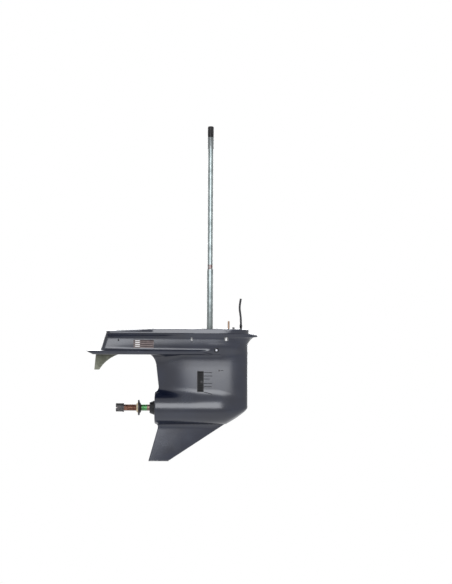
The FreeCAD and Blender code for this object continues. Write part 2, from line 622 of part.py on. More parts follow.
def gearcase_holes(body):
    """Bolt, plug and screw holes of the gearcase."""
    spots = [(x, f"{side}fore_bolt_y") for x in ("fore_bolt_front_x", "fore_bolt_aft_x")
             for side in ("", "-")]
    spots += [("aft_bolt_x", "aft_bolt_y"), ("aft_bolt_x", "-aft_bolt_y")]
    holes = circle_sketch(body, "XY_Plane", [(x, y, "deck_bolt_radius") for x, y in spots],
                          ("0", "0", "1"))
    pocket(body, holes, "rib_foot + 2")
    scallops = circle_sketch(body, "XY_Plane", [(x, y, "scallop_radius") for x, y in spots[:4]],
                             level("rib_foot"))
    pocket(body, scallops, "scallop_foot - rib_foot")
    corners = [(f"{a}pump_bolt_circle * sqrt(0.5)", f"{b}pump_bolt_circle * sqrt(0.5)",
                "pump_bolt_radius") for a in ("", "-") for b in ("", "-")]
    pump_bolts = circle_sketch(body, "XY_Plane", corners, level("pump_well_floor"))
    pocket(body, pump_bolts, "pump_bolt_depth")
    screw = circle_sketch(body, "XY_Plane", [("retainer_screw_x", "0", "retainer_screw_radius")],
                          ("0", "0", "1"))
    pocket(body, screw, "retainer_screw_depth + 1")
    recess = tongue_sketch(body, "retainer_recess_play", "shift_x", "0")
    pocket(body, recess, "retainer_plate")
    fitting = circle_sketch(body, "XY_Plane", [("hose_x", "0", "hose_radius")], ("0", "0", "1"))
    pocket(body, fitting, "fitting_shank + 1")
    tab_head = circle_sketch(body, "XY_Plane", [("tab_bolt_x", "0", "tab_head_radius + running_play")],
                             ("0", "0", "1"))
    pocket(body, tab_head, "tab_seat + 1")
    tab_hole = circle_sketch(body, "XY_Plane", [("tab_bolt_x", "0", "tab_bolt_radius")],
                             level("tab_seat"))
    pocket(body, tab_hole, "plate_foot - tab_seat")
    for side, x, drop, seat, length in (
            ("starboard", "level_plug_x", "level_plug_drop", "level_plug_seat", "plug_length"),
            ("port", "drain_plug_x", "axis_drop", "drain_plug_seat", "drain_plug_length")):
        side_hole(body, side, x, drop, "plug_spot_radius", seat, "0")
        side_hole(body, side, x, drop, "plug_shank_radius", seat, length)
    side_hole(body, "starboard", "side_screw_x", "side_screw_drop", "side_screw_radius",
              "side_screw_seat", "side_screw_length")


def gearcase_housing():
    """Cast gearcase with its deck, plate, strut, torpedo and skeg in one piece."""
    body = new_body("gearcase_housing")
    gearcase_skin(body)
    gearcase_wells(body)
    gearcase_holes(body)


def driveshaft():
    """Long shaft with a splined head, a thinner waist, a bearing journal and a threaded foot."""
    body, sketch = turned("driveshaft", "V_Axis", [
        ("0", "-shaft_foot"), ("pinion_thread_radius", "-shaft_foot"),
        ("pinion_thread_radius", "-pinion_foot"), ("pinion_seat_radius", "-pinion_foot"),
        ("pinion_seat_radius", "-pinion_back"), ("journal_radius", "-pinion_back"),
        ("journal_radius", "-journal_top"), ("shaft_radius", "-journal_top"),
        ("shaft_radius", "waist_foot"), ("shaft_waist_radius", "waist_foot"),
        ("shaft_waist_radius", "waist_top"), ("shaft_radius", "waist_top"),
        ("shaft_radius", "shaft_top - shaft_crown"),
        Arc("shaft_radius - shaft_crown", "shaft_top - shaft_crown"),
        ("shaft_radius - shaft_crown", "shaft_top"), ("0", "shaft_top"),
    ])
    tooth = outline_sketch(body, "XY_Plane", [
        ("shaft_radius - shaft_spline_depth", "-shaft_spline_half"),
        ("shaft_radius + 1", "-shaft_spline_half"), ("shaft_radius + 1", "shaft_spline_half"),
        ("shaft_radius - shaft_spline_depth", "shaft_spline_half"),
    ], ("0", "0", "shaft_top - shaft_spline_length"))
    cut = pocket(body, tooth, "shaft_spline_length", reverse=True)
    around(body, [cut], sketch, "V_Axis", "shaft_spline_count")
    slot = outline_sketch(body, "XY_Plane", [
        ("key_inner", "-key_half_width"), ("shaft_radius + 1", "-key_half_width"),
        ("shaft_radius + 1", "key_half_width"), ("key_inner", "key_half_width"),
    ], level("key_foot"))
    pocket(body, slot, "key_foot - key_top", reverse=True)


def bevel_gear(name, own, mate, teeth, bore, outline, phase, rotation, jaws=None):
    """Straight bevel gear about its own X axis with the apex at its origin."""
    body = new_body(name)
    cone = f"sqrt({own}^2 + {mate}^2)"
    sine, cosine = f"({own} / {cone})", f"({mate} / {cone})"
    root_x, root_r = f"({mate} + dedendum * {sine})", f"({own} - dedendum * {cosine})"
    share = "(1 - face_share)"
    blank = outline_sketch(body, "XZ_Plane", [
        (f"{share} * {root_x}", f"{share} * {root_r}"), (root_x, root_r)] + outline)
    spin(body, "Revolution", blank, "H_Axis", refine=False)
    lean = -math.degrees(math.atan2(value(own), value(mate)))
    sections = []
    for scale in ("1", share):
        sections.append(outline_sketch(body, "YZ_Plane", [
            (f"-{scale} * tooth_root_half", f"-{scale} * (dedendum + tooth_embed)"),
            (f"{scale} * tooth_root_half", f"-{scale} * (dedendum + tooth_embed)"),
            (f"{scale} * tooth_tip_half", f"{scale} * addendum"),
            (f"-{scale} * tooth_tip_half", f"{scale} * addendum"),
        ], ("0", f"{scale} * {own}", f"{scale} * {mate}"), lean))
    tooth = loft(body, "AdditiveLoft", sections, refine=False)
    around(body, [tooth], blank, "H_Axis", teeth, refine=False)
    if jaws is not None:
        turn = f"({jaws})"
        corners = []
        for radius, side in (("jaw_inner", 1), ("jaw_inner", -1), ("jaw_outer", -1), ("jaw_outer", 1)):
            angle = f"({turn} + {side} * jaw_half_angle) * 1 deg"
            corners.append((f"{radius} * sin({angle})", f"{radius} * cos({angle})"))
        jaw = outline_sketch(body, "YZ_Plane", [
            corners[0], Arc("0", "0"), corners[1], corners[2], Arc("0", "0", left=False), corners[3],
        ], ("0", "0", "jaw_tip_x"))
        first = pad(body, jaw, "gear_face_x - jaw_tip_x", refine=False)
        around(body, [first], blank, "H_Axis", "4", refine=False)
    body.Placement = Placement(Vector(), rotation * Rotation(Vector(1, 0, 0), value(phase)))
    place(body, z="-axis_drop")
    return body


def gears():
    """Pinion with its nut, and the forward and reverse gears on either side of it."""
    bevel_gear("pinion_gear", "pinion_pitch", "gear_pitch", "pinion_teeth", "pinion_seat_radius", [
        ("axis_drop - pinion_back - 2", "pinion_pitch - 2 * dedendum + 3"),
        ("axis_drop - pinion_back", "journal_radius + 3"),
        ("axis_drop - pinion_back", "pinion_seat_radius"),
        ("axis_drop - pinion_foot", "pinion_seat_radius"),
        ("axis_drop - pinion_foot", "journal_radius - 0.5"),
    ], "0", Rotation(Vector(0, 1, 0), -90))
    hub = [
        ("gear_back_x", "gear_pitch - 2 * dedendum"), ("gear_back_x", "gear_hub_radius"),
        ("gear_hub_x", "gear_hub_radius"), ("gear_hub_x", "prop_shaft_radius + gear_bore_play"),
        ("gear_face_x", "prop_shaft_radius + gear_bore_play"), ("gear_face_x", "gear_pitch * 0.56"),
    ]
    bevel_gear("forward_gear", "gear_pitch", "pinion_pitch", "gear_teeth", "prop_shaft_radius", hub,
               "0", Rotation(), "jaw_turn")
    bevel_gear("reverse_gear", "gear_pitch", "pinion_pitch", "gear_teeth", "prop_shaft_radius", hub,
               "180 / gear_teeth", Rotation(Vector(0, 0, 1), 180), "jaw_turn + 180 / gear_teeth")
    nut = new_body("pinion_nut")
    hexagon = [(f"pinion_nut_across / sqrt(3) * cos({60 * k} deg)",
                f"pinion_nut_across / sqrt(3) * sin({60 * k} deg)") for k in range(6)]
    pad(nut, outline_sketch(nut, "XY_Plane", hexagon, level("pinion_foot")),
        "pinion_nut_height", reverse=True)
    pocket(nut, circle_sketch(nut, "XY_Plane", [("0", "0", "pinion_thread_radius")],
                              level("pinion_foot")), "pinion_nut_height")


def gear_bearings():
    """Roller bearing and shim of the forward gear, bearing and washer of the reverse gear."""
    turned("forward_gear_bearing_cone", "H_Axis", ring(
        "H_Axis", "gear_back_x", "gear_hub_x", "gear_hub_radius", "cone_radius"), z="-axis_drop")
    turned("forward_gear_bearing_cup", "H_Axis", ring(
        "H_Axis", "gear_back_x", "bearing_front_x", "cup_inner", "cup_outer"), z="-axis_drop")
    turned("forward_gear_shim", "H_Axis", ring(
        "H_Axis", "bearing_front_x", "cup_seat_x", "cup_inner", "cup_outer"), z="-axis_drop")
    pitch = "((cone_radius + cup_inner) / 2)"
    rollers = []
    for number in range(int(value("roller_count"))):
        angle = f"{number} * 360 / roller_count * 1 deg"
        rollers.append(cylinder(
            "roller_radius", "gear_hub_x - gear_back_x - 4", "X", "gear_back_x + 2",
            f"{pitch} * sin({angle})", f"{pitch} * cos({angle}) - axis_drop"))
    group("forward_gear_bearing_rollers", rollers)
    start = "(-gear_back_x - thrust_washer_width)"
    turned("reverse_gear_thrust_washer", "H_Axis", ring(
        "H_Axis", start, "-gear_back_x", "gear_hub_radius", "reverse_bearing_radius - 4"),
        z="-axis_drop")
    turned("reverse_gear_bearing", "H_Axis", ring(
        "H_Axis", f"{start} - reverse_bearing_width", start, "gear_hub_radius + running_play",
        "reverse_bearing_radius"), z="-axis_drop")


def driveshaft_bearings():
    """Housing, bearings and seals that carry the driveshaft."""
    body, sketch = turned("driveshaft_bearing_housing", "V_Axis", [
        ("upper_bearing_radius", "-bearing_bore_foot + 0.5"), ("bearing_bore", "-bearing_bore_foot + 0.5"),
        ("bearing_bore", "-pump_well_floor"), ("pump_flange_radius", "-pump_well_floor"),
        ("pump_flange_radius", "-seal_housing_top"), ("oil_seal_radius", "-seal_housing_top"),
        ("oil_seal_radius", "-seal_floor"), ("seal_land", "-seal_floor"),
        ("seal_land", "-bearing_bore_foot + 0.5 + upper_bearing_height"),
        ("upper_bearing_radius", "-bearing_bore_foot + 0.5 + upper_bearing_height"),
    ])
    pump_holes(body, "pump_well_floor", "pump_well_floor - seal_housing_top")
    turned("driveshaft_upper_bearing", "V_Axis", ring(
        "V_Axis", "-bearing_bore_foot + 0.5", "-bearing_bore_foot + 0.5 + upper_bearing_height",
        "shaft_radius + running_play", "upper_bearing_radius"))
    seals = []
    for number in range(2):
        foot = f"-seal_floor + {number} * (oil_seal_height + 1) + 0.5"
        outer = cylinder("oil_seal_radius", "oil_seal_height", "Z", z=foot)
        inner = cylinder("shaft_radius + running_play", "oil_seal_height", "Z", z=foot)
        seal = doc.addObject("Part::Cut", "Seal")
        seal.Base, seal.Tool = outer, inner
        seals.append(seal)
    group("driveshaft_oil_seals", seals)
    turned("pinion_bearing_shell", "V_Axis", ring(
        "V_Axis", "-needle_foot + 0.8", "-needle_top", "needle_bore - needle_shell_wall", "needle_bore"))
    pitch = "(journal_radius + needle_radius + needle_play)"
    needles = []
    for number in range(int(value("needle_count"))):
        angle = f"{number} * 360 / needle_count * 1 deg"
        needles.append(cylinder(
            "needle_radius", "needle_foot - needle_top - 4", "Z", f"{pitch} * cos({angle})",
            f"{pitch} * sin({angle})", "-needle_foot + 2.5"))
    group("pinion_bearing_needles", needles)


def pump_holes(body, drop, depth):
    """Bolt holes and the water port through a flat piece of the pump stack."""
    spots = [(f"{a}pump_bolt_circle * sqrt(0.5)", f"{b}pump_bolt_circle * sqrt(0.5)",
              "pump_bolt_radius") for a in ("", "-") for b in ("", "-")]
    spots.append(("water_port_x", "0", "water_port_radius - 0.5"))
    pocket(body, circle_sketch(body, "XY_Plane", spots, level(drop)), depth, reverse=True)


def water_pump():
    """Pump stack in the well: gasket, wear plate, cup, impeller, housing and fasteners."""
    gasket_top = "(seal_housing_top - gasket_thickness)"
    plate_top = f"({gasket_top} - wear_plate_thickness)"
    body, sketch = turned("pump_base_gasket", "V_Axis", ring(
        "V_Axis", "-seal_housing_top", f"-{gasket_top}", "pump_shaft_hole", "pump_flange_radius"))
    pump_holes(body, "seal_housing_top", "gasket_thickness")
    body, sketch = turned("pump_wear_plate", "V_Axis", ring(
        "V_Axis", f"-{gasket_top}", f"-{plate_top}", "pump_shaft_hole", "pump_flange_radius"))
    pump_holes(body, gasket_top, "wear_plate_thickness")
    cup_top = f"({plate_top} - cup_height)"
    body, sketch = turned("pump_liner_cup", "V_Axis", [
        ("0", f"-{plate_top}"), ("cup_radius", f"-{plate_top}"), ("cup_radius", f"-{cup_top}"),
        ("0", f"-{cup_top}")])
    pocket(body, circle_sketch(body, "XY_Plane", [("cup_offset", "0", "cup_radius - cup_wall - cup_offset")],
                               level(plate_top)), "cup_height - cup_wall", reverse=True)
    pocket(body, circle_sketch(body, "XY_Plane", [("0", "0", "pump_shaft_hole")],
                               level(plate_top)), "cup_height", reverse=True)
    body, sketch = turned("pump_housing", "V_Axis", [
        ("cup_radius", f"-{plate_top}"), ("pump_flange_radius", f"-{plate_top}"),
        ("pump_flange_radius", f"-{plate_top} + pump_flange_height"),
        ("pump_body_radius", f"-{plate_top} + pump_flange_height"),
        ("pump_body_radius", "-pump_top"), ("pump_shaft_hole", "-pump_top"),
        ("pump_shaft_hole", f"-{cup_top}"), ("cup_radius", f"-{cup_top}"),
    ])
    pad(body, circle_sketch(body, "XY_Plane", [("outlet_x", "0", "outlet_radius")], level("pump_top")),
        f"{cup_top} - pump_top", reverse=True)
    pocket(body, circle_sketch(body, "XY_Plane", [("outlet_x", "0", "outlet_bore")], level("pump_top")),
           "outlet_floor - pump_top - 2")
    spots = [(f"{a}pump_bolt_circle * sqrt(0.5)", f"{b}pump_bolt_circle * sqrt(0.5)",
              "pump_bolt_radius") for a in ("", "-") for b in ("", "-")]
    pocket(body, circle_sketch(body, "XY_Plane", spots, level(plate_top)), "pump_flange_height",
           reverse=True)
    turned("water_tube_grommet", "V_Axis", ring(
        "V_Axis", "-pump_top", "-pump_top + grommet_height", "outlet_bore", "outlet_bore + grommet_wall"),
        x="outlet_x")
    impeller = new_body("pump_impeller")
    foot = f"({plate_top} - impeller_gap)"
    hub = circle_sketch(impeller, "XY_Plane", [("0", "0", "impeller_hub")], level(foot))
    pad(impeller, hub, "impeller_height")
    vane = outline_sketch(impeller, "XY_Plane", [
        ("0", "-vane_half"), ("impeller_radius", "-vane_half"), ("impeller_radius", "vane_half"),
        ("0", "vane_half")], level(foot))
    vanes = pad(impeller, vane, "impeller_height")
    around(impeller, [vanes], hub, "N_Axis", "vane_count")
    pocket(impeller, circle_sketch(impeller, "XY_Plane", [("0", "0", "shaft_radius")], level(foot)),
           "impeller_height", reverse=True)
    keyway = outline_sketch(impeller, "XY_Plane", [
        ("0", "-key_half_width"), ("key_outer", "-key_half_width"), ("key_outer", "key_half_width"),
        ("0", "key_half_width")], level(foot))
    pocket(impeller, keyway, "impeller_height", reverse=True)
    key = new_body("impeller_key")
    pad(key, outline_sketch(key, "XY_Plane", [
        ("key_inner", "-key_half_width"), ("key_outer", "-key_half_width"),
        ("key_outer", "key_half_width"), ("key_inner", "key_half_width")], level("key_foot")),
        "key_foot - key_top")
    turned("shaft_slinger", "V_Axis", [
        ("shaft_radius", "-slinger_foot"), ("slinger_radius", "-slinger_foot"),
        ("slinger_radius", "-slinger_foot + 1.5"), ("shaft_radius + 3", "-slinger_foot + slinger_height"),
        ("shaft_radius", "-slinger_foot + slinger_height")])
    bolts = []
    head_foot = f"-{plate_top} + pump_flange_height"
    for x, y, radius in spots:
        shank = cylinder("pump_bolt_radius", f"pump_bolt_depth + pump_well_floor - {plate_top}"
                         " + pump_flange_height", "Z", x, y, "-pump_well_floor - pump_bolt_depth")
        head = cylinder("pump_bolt_head", "pump_bolt_head_height", "Z", x, y, head_foot)
        bolt = doc.addObject("Part::Fuse", "Bolt")
        bolt.Base, bolt.Tool = shank, head
        bolts.append(bolt)
    group("pump_housing_bolts", bolts)


def shift_parts():
    """Shift shaft with its crank, the follower it moves, and its bushing, screw and seal."""
    body, sketch = turned("shift_shaft", "V_Axis", [
        ("0", "-crank_foot"), ("crank_radius", "-crank_foot"), ("crank_radius", "-crank_top"),
        ("shift_radius", "-crank_top"), ("shift_radius", "-shift_neck"),
        ("shift_stub_radius", "-shift_neck"), ("shift_stub_radius", "shift_stub_top - 1"),
        ("shift_stub_radius - 1", "shift_stub_top"), ("0", "shift_stub_top")], x="shift_x")
    pad(body, circle_sketch(body, "XY_Plane", [("0", "crank_offset", "crank_pin_radius")],
                            level("crank_foot")), "crank_pin_foot - crank_foot", reverse=True)
    retainer, sketch = turned("shift_shaft_retainer", "V_Axis", [
        ("shift_radius + running_play", "-retainer_foot"), ("retainer_radius", "-retainer_foot"),
        ("retainer_radius", "0"), ("shift_stub_radius + 0.5", "0"),
        ("shift_stub_radius + 0.5", "-shift_neck + 1"),
        ("shift_radius + running_play", "-shift_neck + 1")], x="shift_x")
    pad(retainer, tongue_sketch(retainer, "0", "0", "retainer_plate"), "retainer_plate")
    pocket(retainer, circle_sketch(retainer, "XY_Plane", [
        ("retainer_screw_x - shift_x", "0", "retainer_screw_radius")], level("retainer_plate")),
        "retainer_plate", reverse=True)
    screw_profile = [
        ("0", "-retainer_screw_depth"), ("retainer_screw_radius", "-retainer_screw_depth"),
        ("retainer_screw_radius", "0"), ("retainer_screw_head", "0"),
        ("retainer_screw_head", "retainer_screw_head_height - 1"),
        ("retainer_screw_head - 1", "retainer_screw_head_height"),
        ("0", "retainer_screw_head_height")]
    turned("shift_retainer_screw", "V_Axis", screw_profile, x="retainer_screw_x")
    turned("shift_shaft_seal", "V_Axis", ring(
        "V_Axis", "-retainer_foot - shift_seal_height", "-retainer_foot",
        "shift_radius + running_play", "shift_seal_radius"), x="shift_x")
    follower, sketch = turned("shift_follower", "H_Axis", [
        ("follower_aft_x", "0"), ("follower_front_x", "0"), ("follower_front_x", "follower_radius - 1.5"),
        ("follower_front_x - 1.5", "follower_radius"), ("follower_aft_x", "follower_radius")],
        z="-axis_drop")
    groove = outline_sketch(follower, "XY_Plane", [
        ("shift_x - crank_pin_radius - crank_pin_play", "crank_offset - 2 * crank_pin_radius"),
        ("shift_x + crank_pin_radius + crank_pin_play", "crank_offset - 2 * crank_pin_radius"),
        ("shift_x + crank_pin_radius + crank_pin_play", "follower_radius + 1"),
        ("shift_x - crank_pin_radius - crank_pin_play", "follower_radius + 1")],
        ("0", "0", "axis_drop - crank_pin_foot - 1"))
    pocket(follower, groove, "follower_radius - axis_drop + crank_pin_foot + 2", reverse=True)
    head_slot = outline_sketch(follower, "XY_Plane", [
        ("rod_head_x - rod_play", "-rod_head_radius - rod_play"),
        ("rod_head_x + rod_head_length + rod_play", "-rod_head_radius - rod_play"),
        ("rod_head_x + rod_head_length + rod_play", "rod_head_radius + rod_play"),
        ("rod_head_x - rod_play", "rod_head_radius + rod_play")],
        ("0", "0", "-rod_head_radius - rod_play"))
    pocket(follower, head_slot, "follower_radius + rod_head_radius + rod_play + 1", reverse=True)
    neck_slot = outline_sketch(follower, "XY_Plane", [
        ("follower_aft_x - 1", "-rod_neck_radius - rod_play"), ("rod_head_x", "-rod_neck_radius - rod_play"),
        ("rod_head_x", "rod_neck_radius + rod_play"), ("follower_aft_x - 1", "rod_neck_radius + rod_play")],
        ("0", "0", "-rod_neck_radius - rod_play"))
    pocket(follower, neck_slot, "follower_radius + rod_neck_radius + rod_play + 1", reverse=True)


def clutch():
    """Sliding dog with its cross pin, spring ring and actuating rod."""
    sleeve = "prop_shaft_radius + dog_play"
    body, sketch = turned("clutch_dog", "H_Axis", [
        ("-dog_half", sleeve), ("dog_half", sleeve), ("dog_half", "dog_sleeve_radius"),
        ("dog_ring_half", "dog_sleeve_radius"), ("dog_ring_half", "jaw_outer"),
        ("spring_half_width", "jaw_outer"), ("spring_half_width", "jaw_outer - spring_groove"),
        ("-spring_half_width", "jaw_outer - spring_groove"), ("-spring_half_width", "jaw_outer"),
        ("-dog_ring_half", "jaw_outer"), ("-dog_ring_half", "dog_sleeve_radius"),
        ("-dog_half", "dog_sleeve_radius")], z="-axis_drop")
    sector = []
    for radius, side in (("dog_sleeve_radius - 0.5", 1), ("dog_sleeve_radius - 0.5", -1),
                         ("jaw_outer", -1), ("jaw_outer", 1)):
        angle = f"{side} * jaw_half_angle * 1 deg"
        sector.append((f"({radius}) * sin({angle})", f"({radius}) * cos({angle})"))
    jaw = outline_sketch(body, "YZ_Plane", [
        sector[0], Arc("0", "0"), sector[1], sector[2], Arc("0", "0", left=False), sector[3],
    ], ("0", "0", "dog_ring_half"))
    front = pad(body, jaw, "dog_half - dog_ring_half")
    jaw_aft = outline_sketch(body, "YZ_Plane", [
        sector[0], Arc("0", "0"), sector[1], sector[2], Arc("0", "0", left=False), sector[3],
    ], ("0", "0", "-dog_half"))
    around(body, [front], sketch, "H_Axis", "4")
    rear = pad(body, jaw_aft, "dog_half - dog_ring_half")
    around(body, [rear], sketch, "H_Axis", "4")
    hole = circle_sketch(body, "XY_Plane", [("0", "0", "cross_pin_radius")])
    pocket(body, hole, "2 * jaw_outer + 2", symmetric=True)
    reach = "(jaw_outer - spring_groove - 0.1)"
    pin = piece("clutch_cross_pin", cylinder("cross_pin_radius", f"2 * {reach}", "Z",
                                             z=f"-axis_drop - {reach}"))
    turned("clutch_retaining_spring", "H_Axis", ring(
        "H_Axis", "-spring_half_width", "spring_half_width", "jaw_outer - spring_groove", "jaw_outer"),
        z="-axis_drop")
    rod, sketch = turned("clutch_actuator_rod", "H_Axis", [
        ("rod_tail_x", "0"), ("rod_head_x + rod_head_length", "0"),
        ("rod_head_x + rod_head_length", "rod_head_radius"), ("rod_head_x", "rod_head_radius"),
        ("rod_head_x", "rod_neck_radius"), ("rod_neck_x", "rod_neck_radius"),
        ("rod_neck_x", "rod_radius"), ("rod_tail_x", "rod_radius")], z="-axis_drop")
    pocket(rod, circle_sketch(rod, "XY_Plane", [("0", "0", "cross_pin_radius")]),
           "2 * rod_radius + 2", symmetric=True)


def propeller_shaft():
    """Propeller shaft with its slot, splines and thread, and the pieces it carries."""
    body, sketch = turned("propeller_shaft", "H_Axis", [
        ("prop_tail_x", "0"), ("rod_bore_x", "0"), ("rod_bore_x", "rod_bore_radius"),
        ("prop_shaft_front_x", "rod_bore_radius"), ("prop_shaft_front_x", "prop_shaft_radius"),
        ("prop_step_x", "prop_shaft_radius"), ("prop_step_x", "prop_tail_radius"),
        ("prop_thread_x", "prop_tail_radius"), ("prop_thread_x", "prop_thread_radius"),
        ("prop_tail_x + 1.5", "prop_thread_radius"), ("prop_tail_x", "prop_thread_radius - 1.5"),
    ], z="-axis_drop")
    half = "(clutch_travel + cross_pin_radius + slot_play)"
    slot = outline_sketch(body, "XY_Plane", [
        (f"-{half}", "-cross_pin_radius - slot_play"), (half, "-cross_pin_radius - slot_play"),
        (half, "cross_pin_radius + slot_play"), (f"-{half}", "cross_pin_radius + slot_play")])
    pocket(body, slot, "2 * prop_shaft_radius + 2", symmetric=True)
    groove = outline_sketch(body, "YZ_Plane", [
        ("-prop_spline_half", "prop_tail_radius - prop_spline_depth"),
        ("prop_spline_half", "prop_tail_radius - prop_spline_depth"),
        ("prop_spline_half", "prop_tail_radius + 1"), ("-prop_spline_half", "prop_tail_radius + 1"),
    ], ("0", "0", "prop_spline_front_x"))
    cut = pocket(body, groove, "prop_spline_front_x - prop_thread_x")
    around(body, [cut], sketch, "H_Axis", "prop_spline_count")
    hole = circle_sketch(body, "XZ_Plane", [("cotter_x", "0", "cotter_radius")])
    pocket(body, hole, "2 * prop_thread_radius + 2", symmetric=True)
    turned("propeller_thrust_washer", "H_Axis", [
        ("thrust_aft_x", "prop_tail_radius"), ("thrust_front_x", "prop_tail_radius"),
        ("thrust_front_x", "thrust_nose_radius"), ("thrust_rim_x + 3", "thrust_nose_radius + 4"),
        ("thrust_rim_x + 3", "thrust_radius - 1.5"), ("thrust_rim_x + 1.5", "thrust_radius"),
        ("thrust_rim_x - 3", "thrust_radius"), ("thrust_rim_x - 3", "thrust_tail_radius"),
        ("thrust_aft_x", "thrust_tail_radius - 4")], z="-axis_drop")
    turned("propeller_washer", "H_Axis", ring(
        "H_Axis", "prop_thread_x - washer_width", "prop_thread_x", "prop_thread_radius",
        "washer_radius"), z="-axis_drop")
    nut = new_body("propeller_nut")
    station = "(prop_thread_x - washer_width)"
    hexagon = [(f"prop_nut_across / sqrt(3) * sin({60 * k} deg)",
                f"prop_nut_across / sqrt(3) * cos({60 * k} deg)") for k in range(6)]
    flats = outline_sketch(nut, "YZ_Plane", hexagon, ("0", "0", station))
    pad(nut, flats, "prop_nut_width", reverse=True)
    pocket(nut, circle_sketch(nut, "YZ_Plane", [("0", "0", "prop_thread_radius")],
                              ("0", "0", station)), "prop_nut_width")
    castle = outline_sketch(nut, "YZ_Plane", [
        ("0", "-castle_half"), ("prop_nut_across", "-castle_half"),
        ("prop_nut_across", "castle_half"), ("0", "castle_half")],
        ("0", "0", f"{station} - prop_nut_width"))
    notch = pocket(nut, castle, "castle_depth", reverse=True)
    around(nut, [notch], flats, "N_Axis", "6")
    place(nut, z="-axis_drop")
    piece("cotter_pin", cylinder("cotter_radius", "2 * cotter_half", "Y", "cotter_x",
                                 "-cotter_half", "-axis_drop"))


def carrier():
    """Carrier of the propeller shaft with its bearings, seals, ring seal and retaining nut."""
    fit = "torpedo_bore - carrier_play"
    body, sketch = turned("propeller_shaft_carrier", "H_Axis", [
        ("carrier_boss_x", "prop_seal_radius"), ("prop_seal_floor_x", "prop_seal_radius"),
        ("prop_seal_floor_x", "carrier_bore"), ("rear_needle_x - needle_ring_width", "carrier_bore"),
        ("rear_needle_x - needle_ring_width", "needle_ring_radius"), ("rear_needle_x", "needle_ring_radius"),
        ("rear_needle_x", "carrier_bore"), ("carrier_cup_aft_x - needle_ring_width", "carrier_bore"),
        ("carrier_cup_aft_x - needle_ring_width", "needle_ring_radius"),
        ("carrier_cup_aft_x", "needle_ring_radius"), ("carrier_cup_aft_x", "gear_hub_radius + 1"),
        ("-gear_back_x - thrust_washer_width - reverse_bearing_width", "gear_hub_radius + 1"),
        ("-gear_back_x - thrust_washer_width - reverse_bearing_width", "reverse_bearing_radius"),
        ("carrier_cup_front_x", "reverse_bearing_radius"), ("carrier_cup_front_x", fit),
        ("o_ring_x + o_ring_width", fit), ("o_ring_x + o_ring_width", f"{fit} - o_ring_groove"),
        ("o_ring_x", f"{fit} - o_ring_groove"), ("o_ring_x", fit),
        ("carrier_cup_aft_x", fit), ("carrier_cup_aft_x - 8", "carrier_tube_radius"),
        ("carrier_ring_front_x", "carrier_tube_radius"), ("carrier_ring_front_x", fit),
        ("carrier_ring_aft_x", fit), ("carrier_ring_aft_x", "carrier_tube_radius"),
        ("torpedo_aft_x", "carrier_tube_radius"), ("carrier_boss_x", "carrier_boss_radius"),
    ], z="-axis_drop")
    corners = []
    for radius, side in (("carrier_tube_radius", 1), ("carrier_tube_radius", -1),
                         ("carrier_web_outer", -1), ("carrier_web_outer", 1)):
        angle = f"{side} * carrier_window_angle * 1 deg"
        corners.append((f"{radius} * sin({angle})", f"{radius} * cos({angle})"))
    window = outline_sketch(body, "YZ_Plane", [
        corners[0], Arc("0", "0"), corners[1], corners[2], Arc("0", "0", left=False), corners[3],
    ], ("0", "0", "carrier_ring_front_x"))
    cut = pocket(body, window, "carrier_ring_front_x - carrier_ring_aft_x")
    around(body, [cut], sketch, "H_Axis", "carrier_windows")
    turned("carrier_o_ring", "H_Axis", ring(
        "H_Axis", "o_ring_x", "o_ring_x + o_ring_width", f"{fit} - o_ring_groove", "torpedo_bore"),
        z="-axis_drop")
    nut, sketch = turned("carrier_retainer_nut", "H_Axis", ring(
        "H_Axis", "retainer_nut_aft_x", "carrier_ring_aft_x", "retainer_nut_inner", "torpedo_bore"),
        z="-axis_drop")
    notch = outline_sketch(nut, "YZ_Plane", [
        ("-retainer_notch_half", "0"), ("retainer_notch_half", "0"),
        ("retainer_notch_half", "retainer_nut_inner + 3"), ("-retainer_notch_half", "retainer_nut_inner + 3"),
    ], ("0", "0", "carrier_ring_aft_x - 2"))
    cut = pocket(nut, notch, "carrier_ring_aft_x - retainer_nut_aft_x")
    around(nut, [cut], sketch, "H_Axis", "4")
    inner = "prop_shaft_radius + running_play"
    members = []
    for aft in ("rear_needle_x - needle_ring_width", "carrier_cup_aft_x - needle_ring_width"):
        members.append(ring_solid("needle_ring_radius", inner, "needle_ring_width", aft))
    group("carrier_needle_bearings", members)
    members = []
    for number in range(2):
        aft = f"prop_seal_floor_x - {number + 1} * prop_seal_width - {number}"
        members.append(ring_solid("prop_seal_radius", inner, "prop_seal_width", aft))
    group("propeller_shaft_seals", members)


def ring_solid(outer, inner, width, aft):
    """Plain ring about the torpedo axis, made of two cylinders."""
    ring_cut = doc.addObject("Part::Cut", "Ring")
    ring_cut.Base = cylinder(outer, width, "X", x=aft, z="-axis_drop")
    ring_cut.Tool = cylinder(inner, width, "X", x=aft, z="-axis_drop")
    return ring_cut


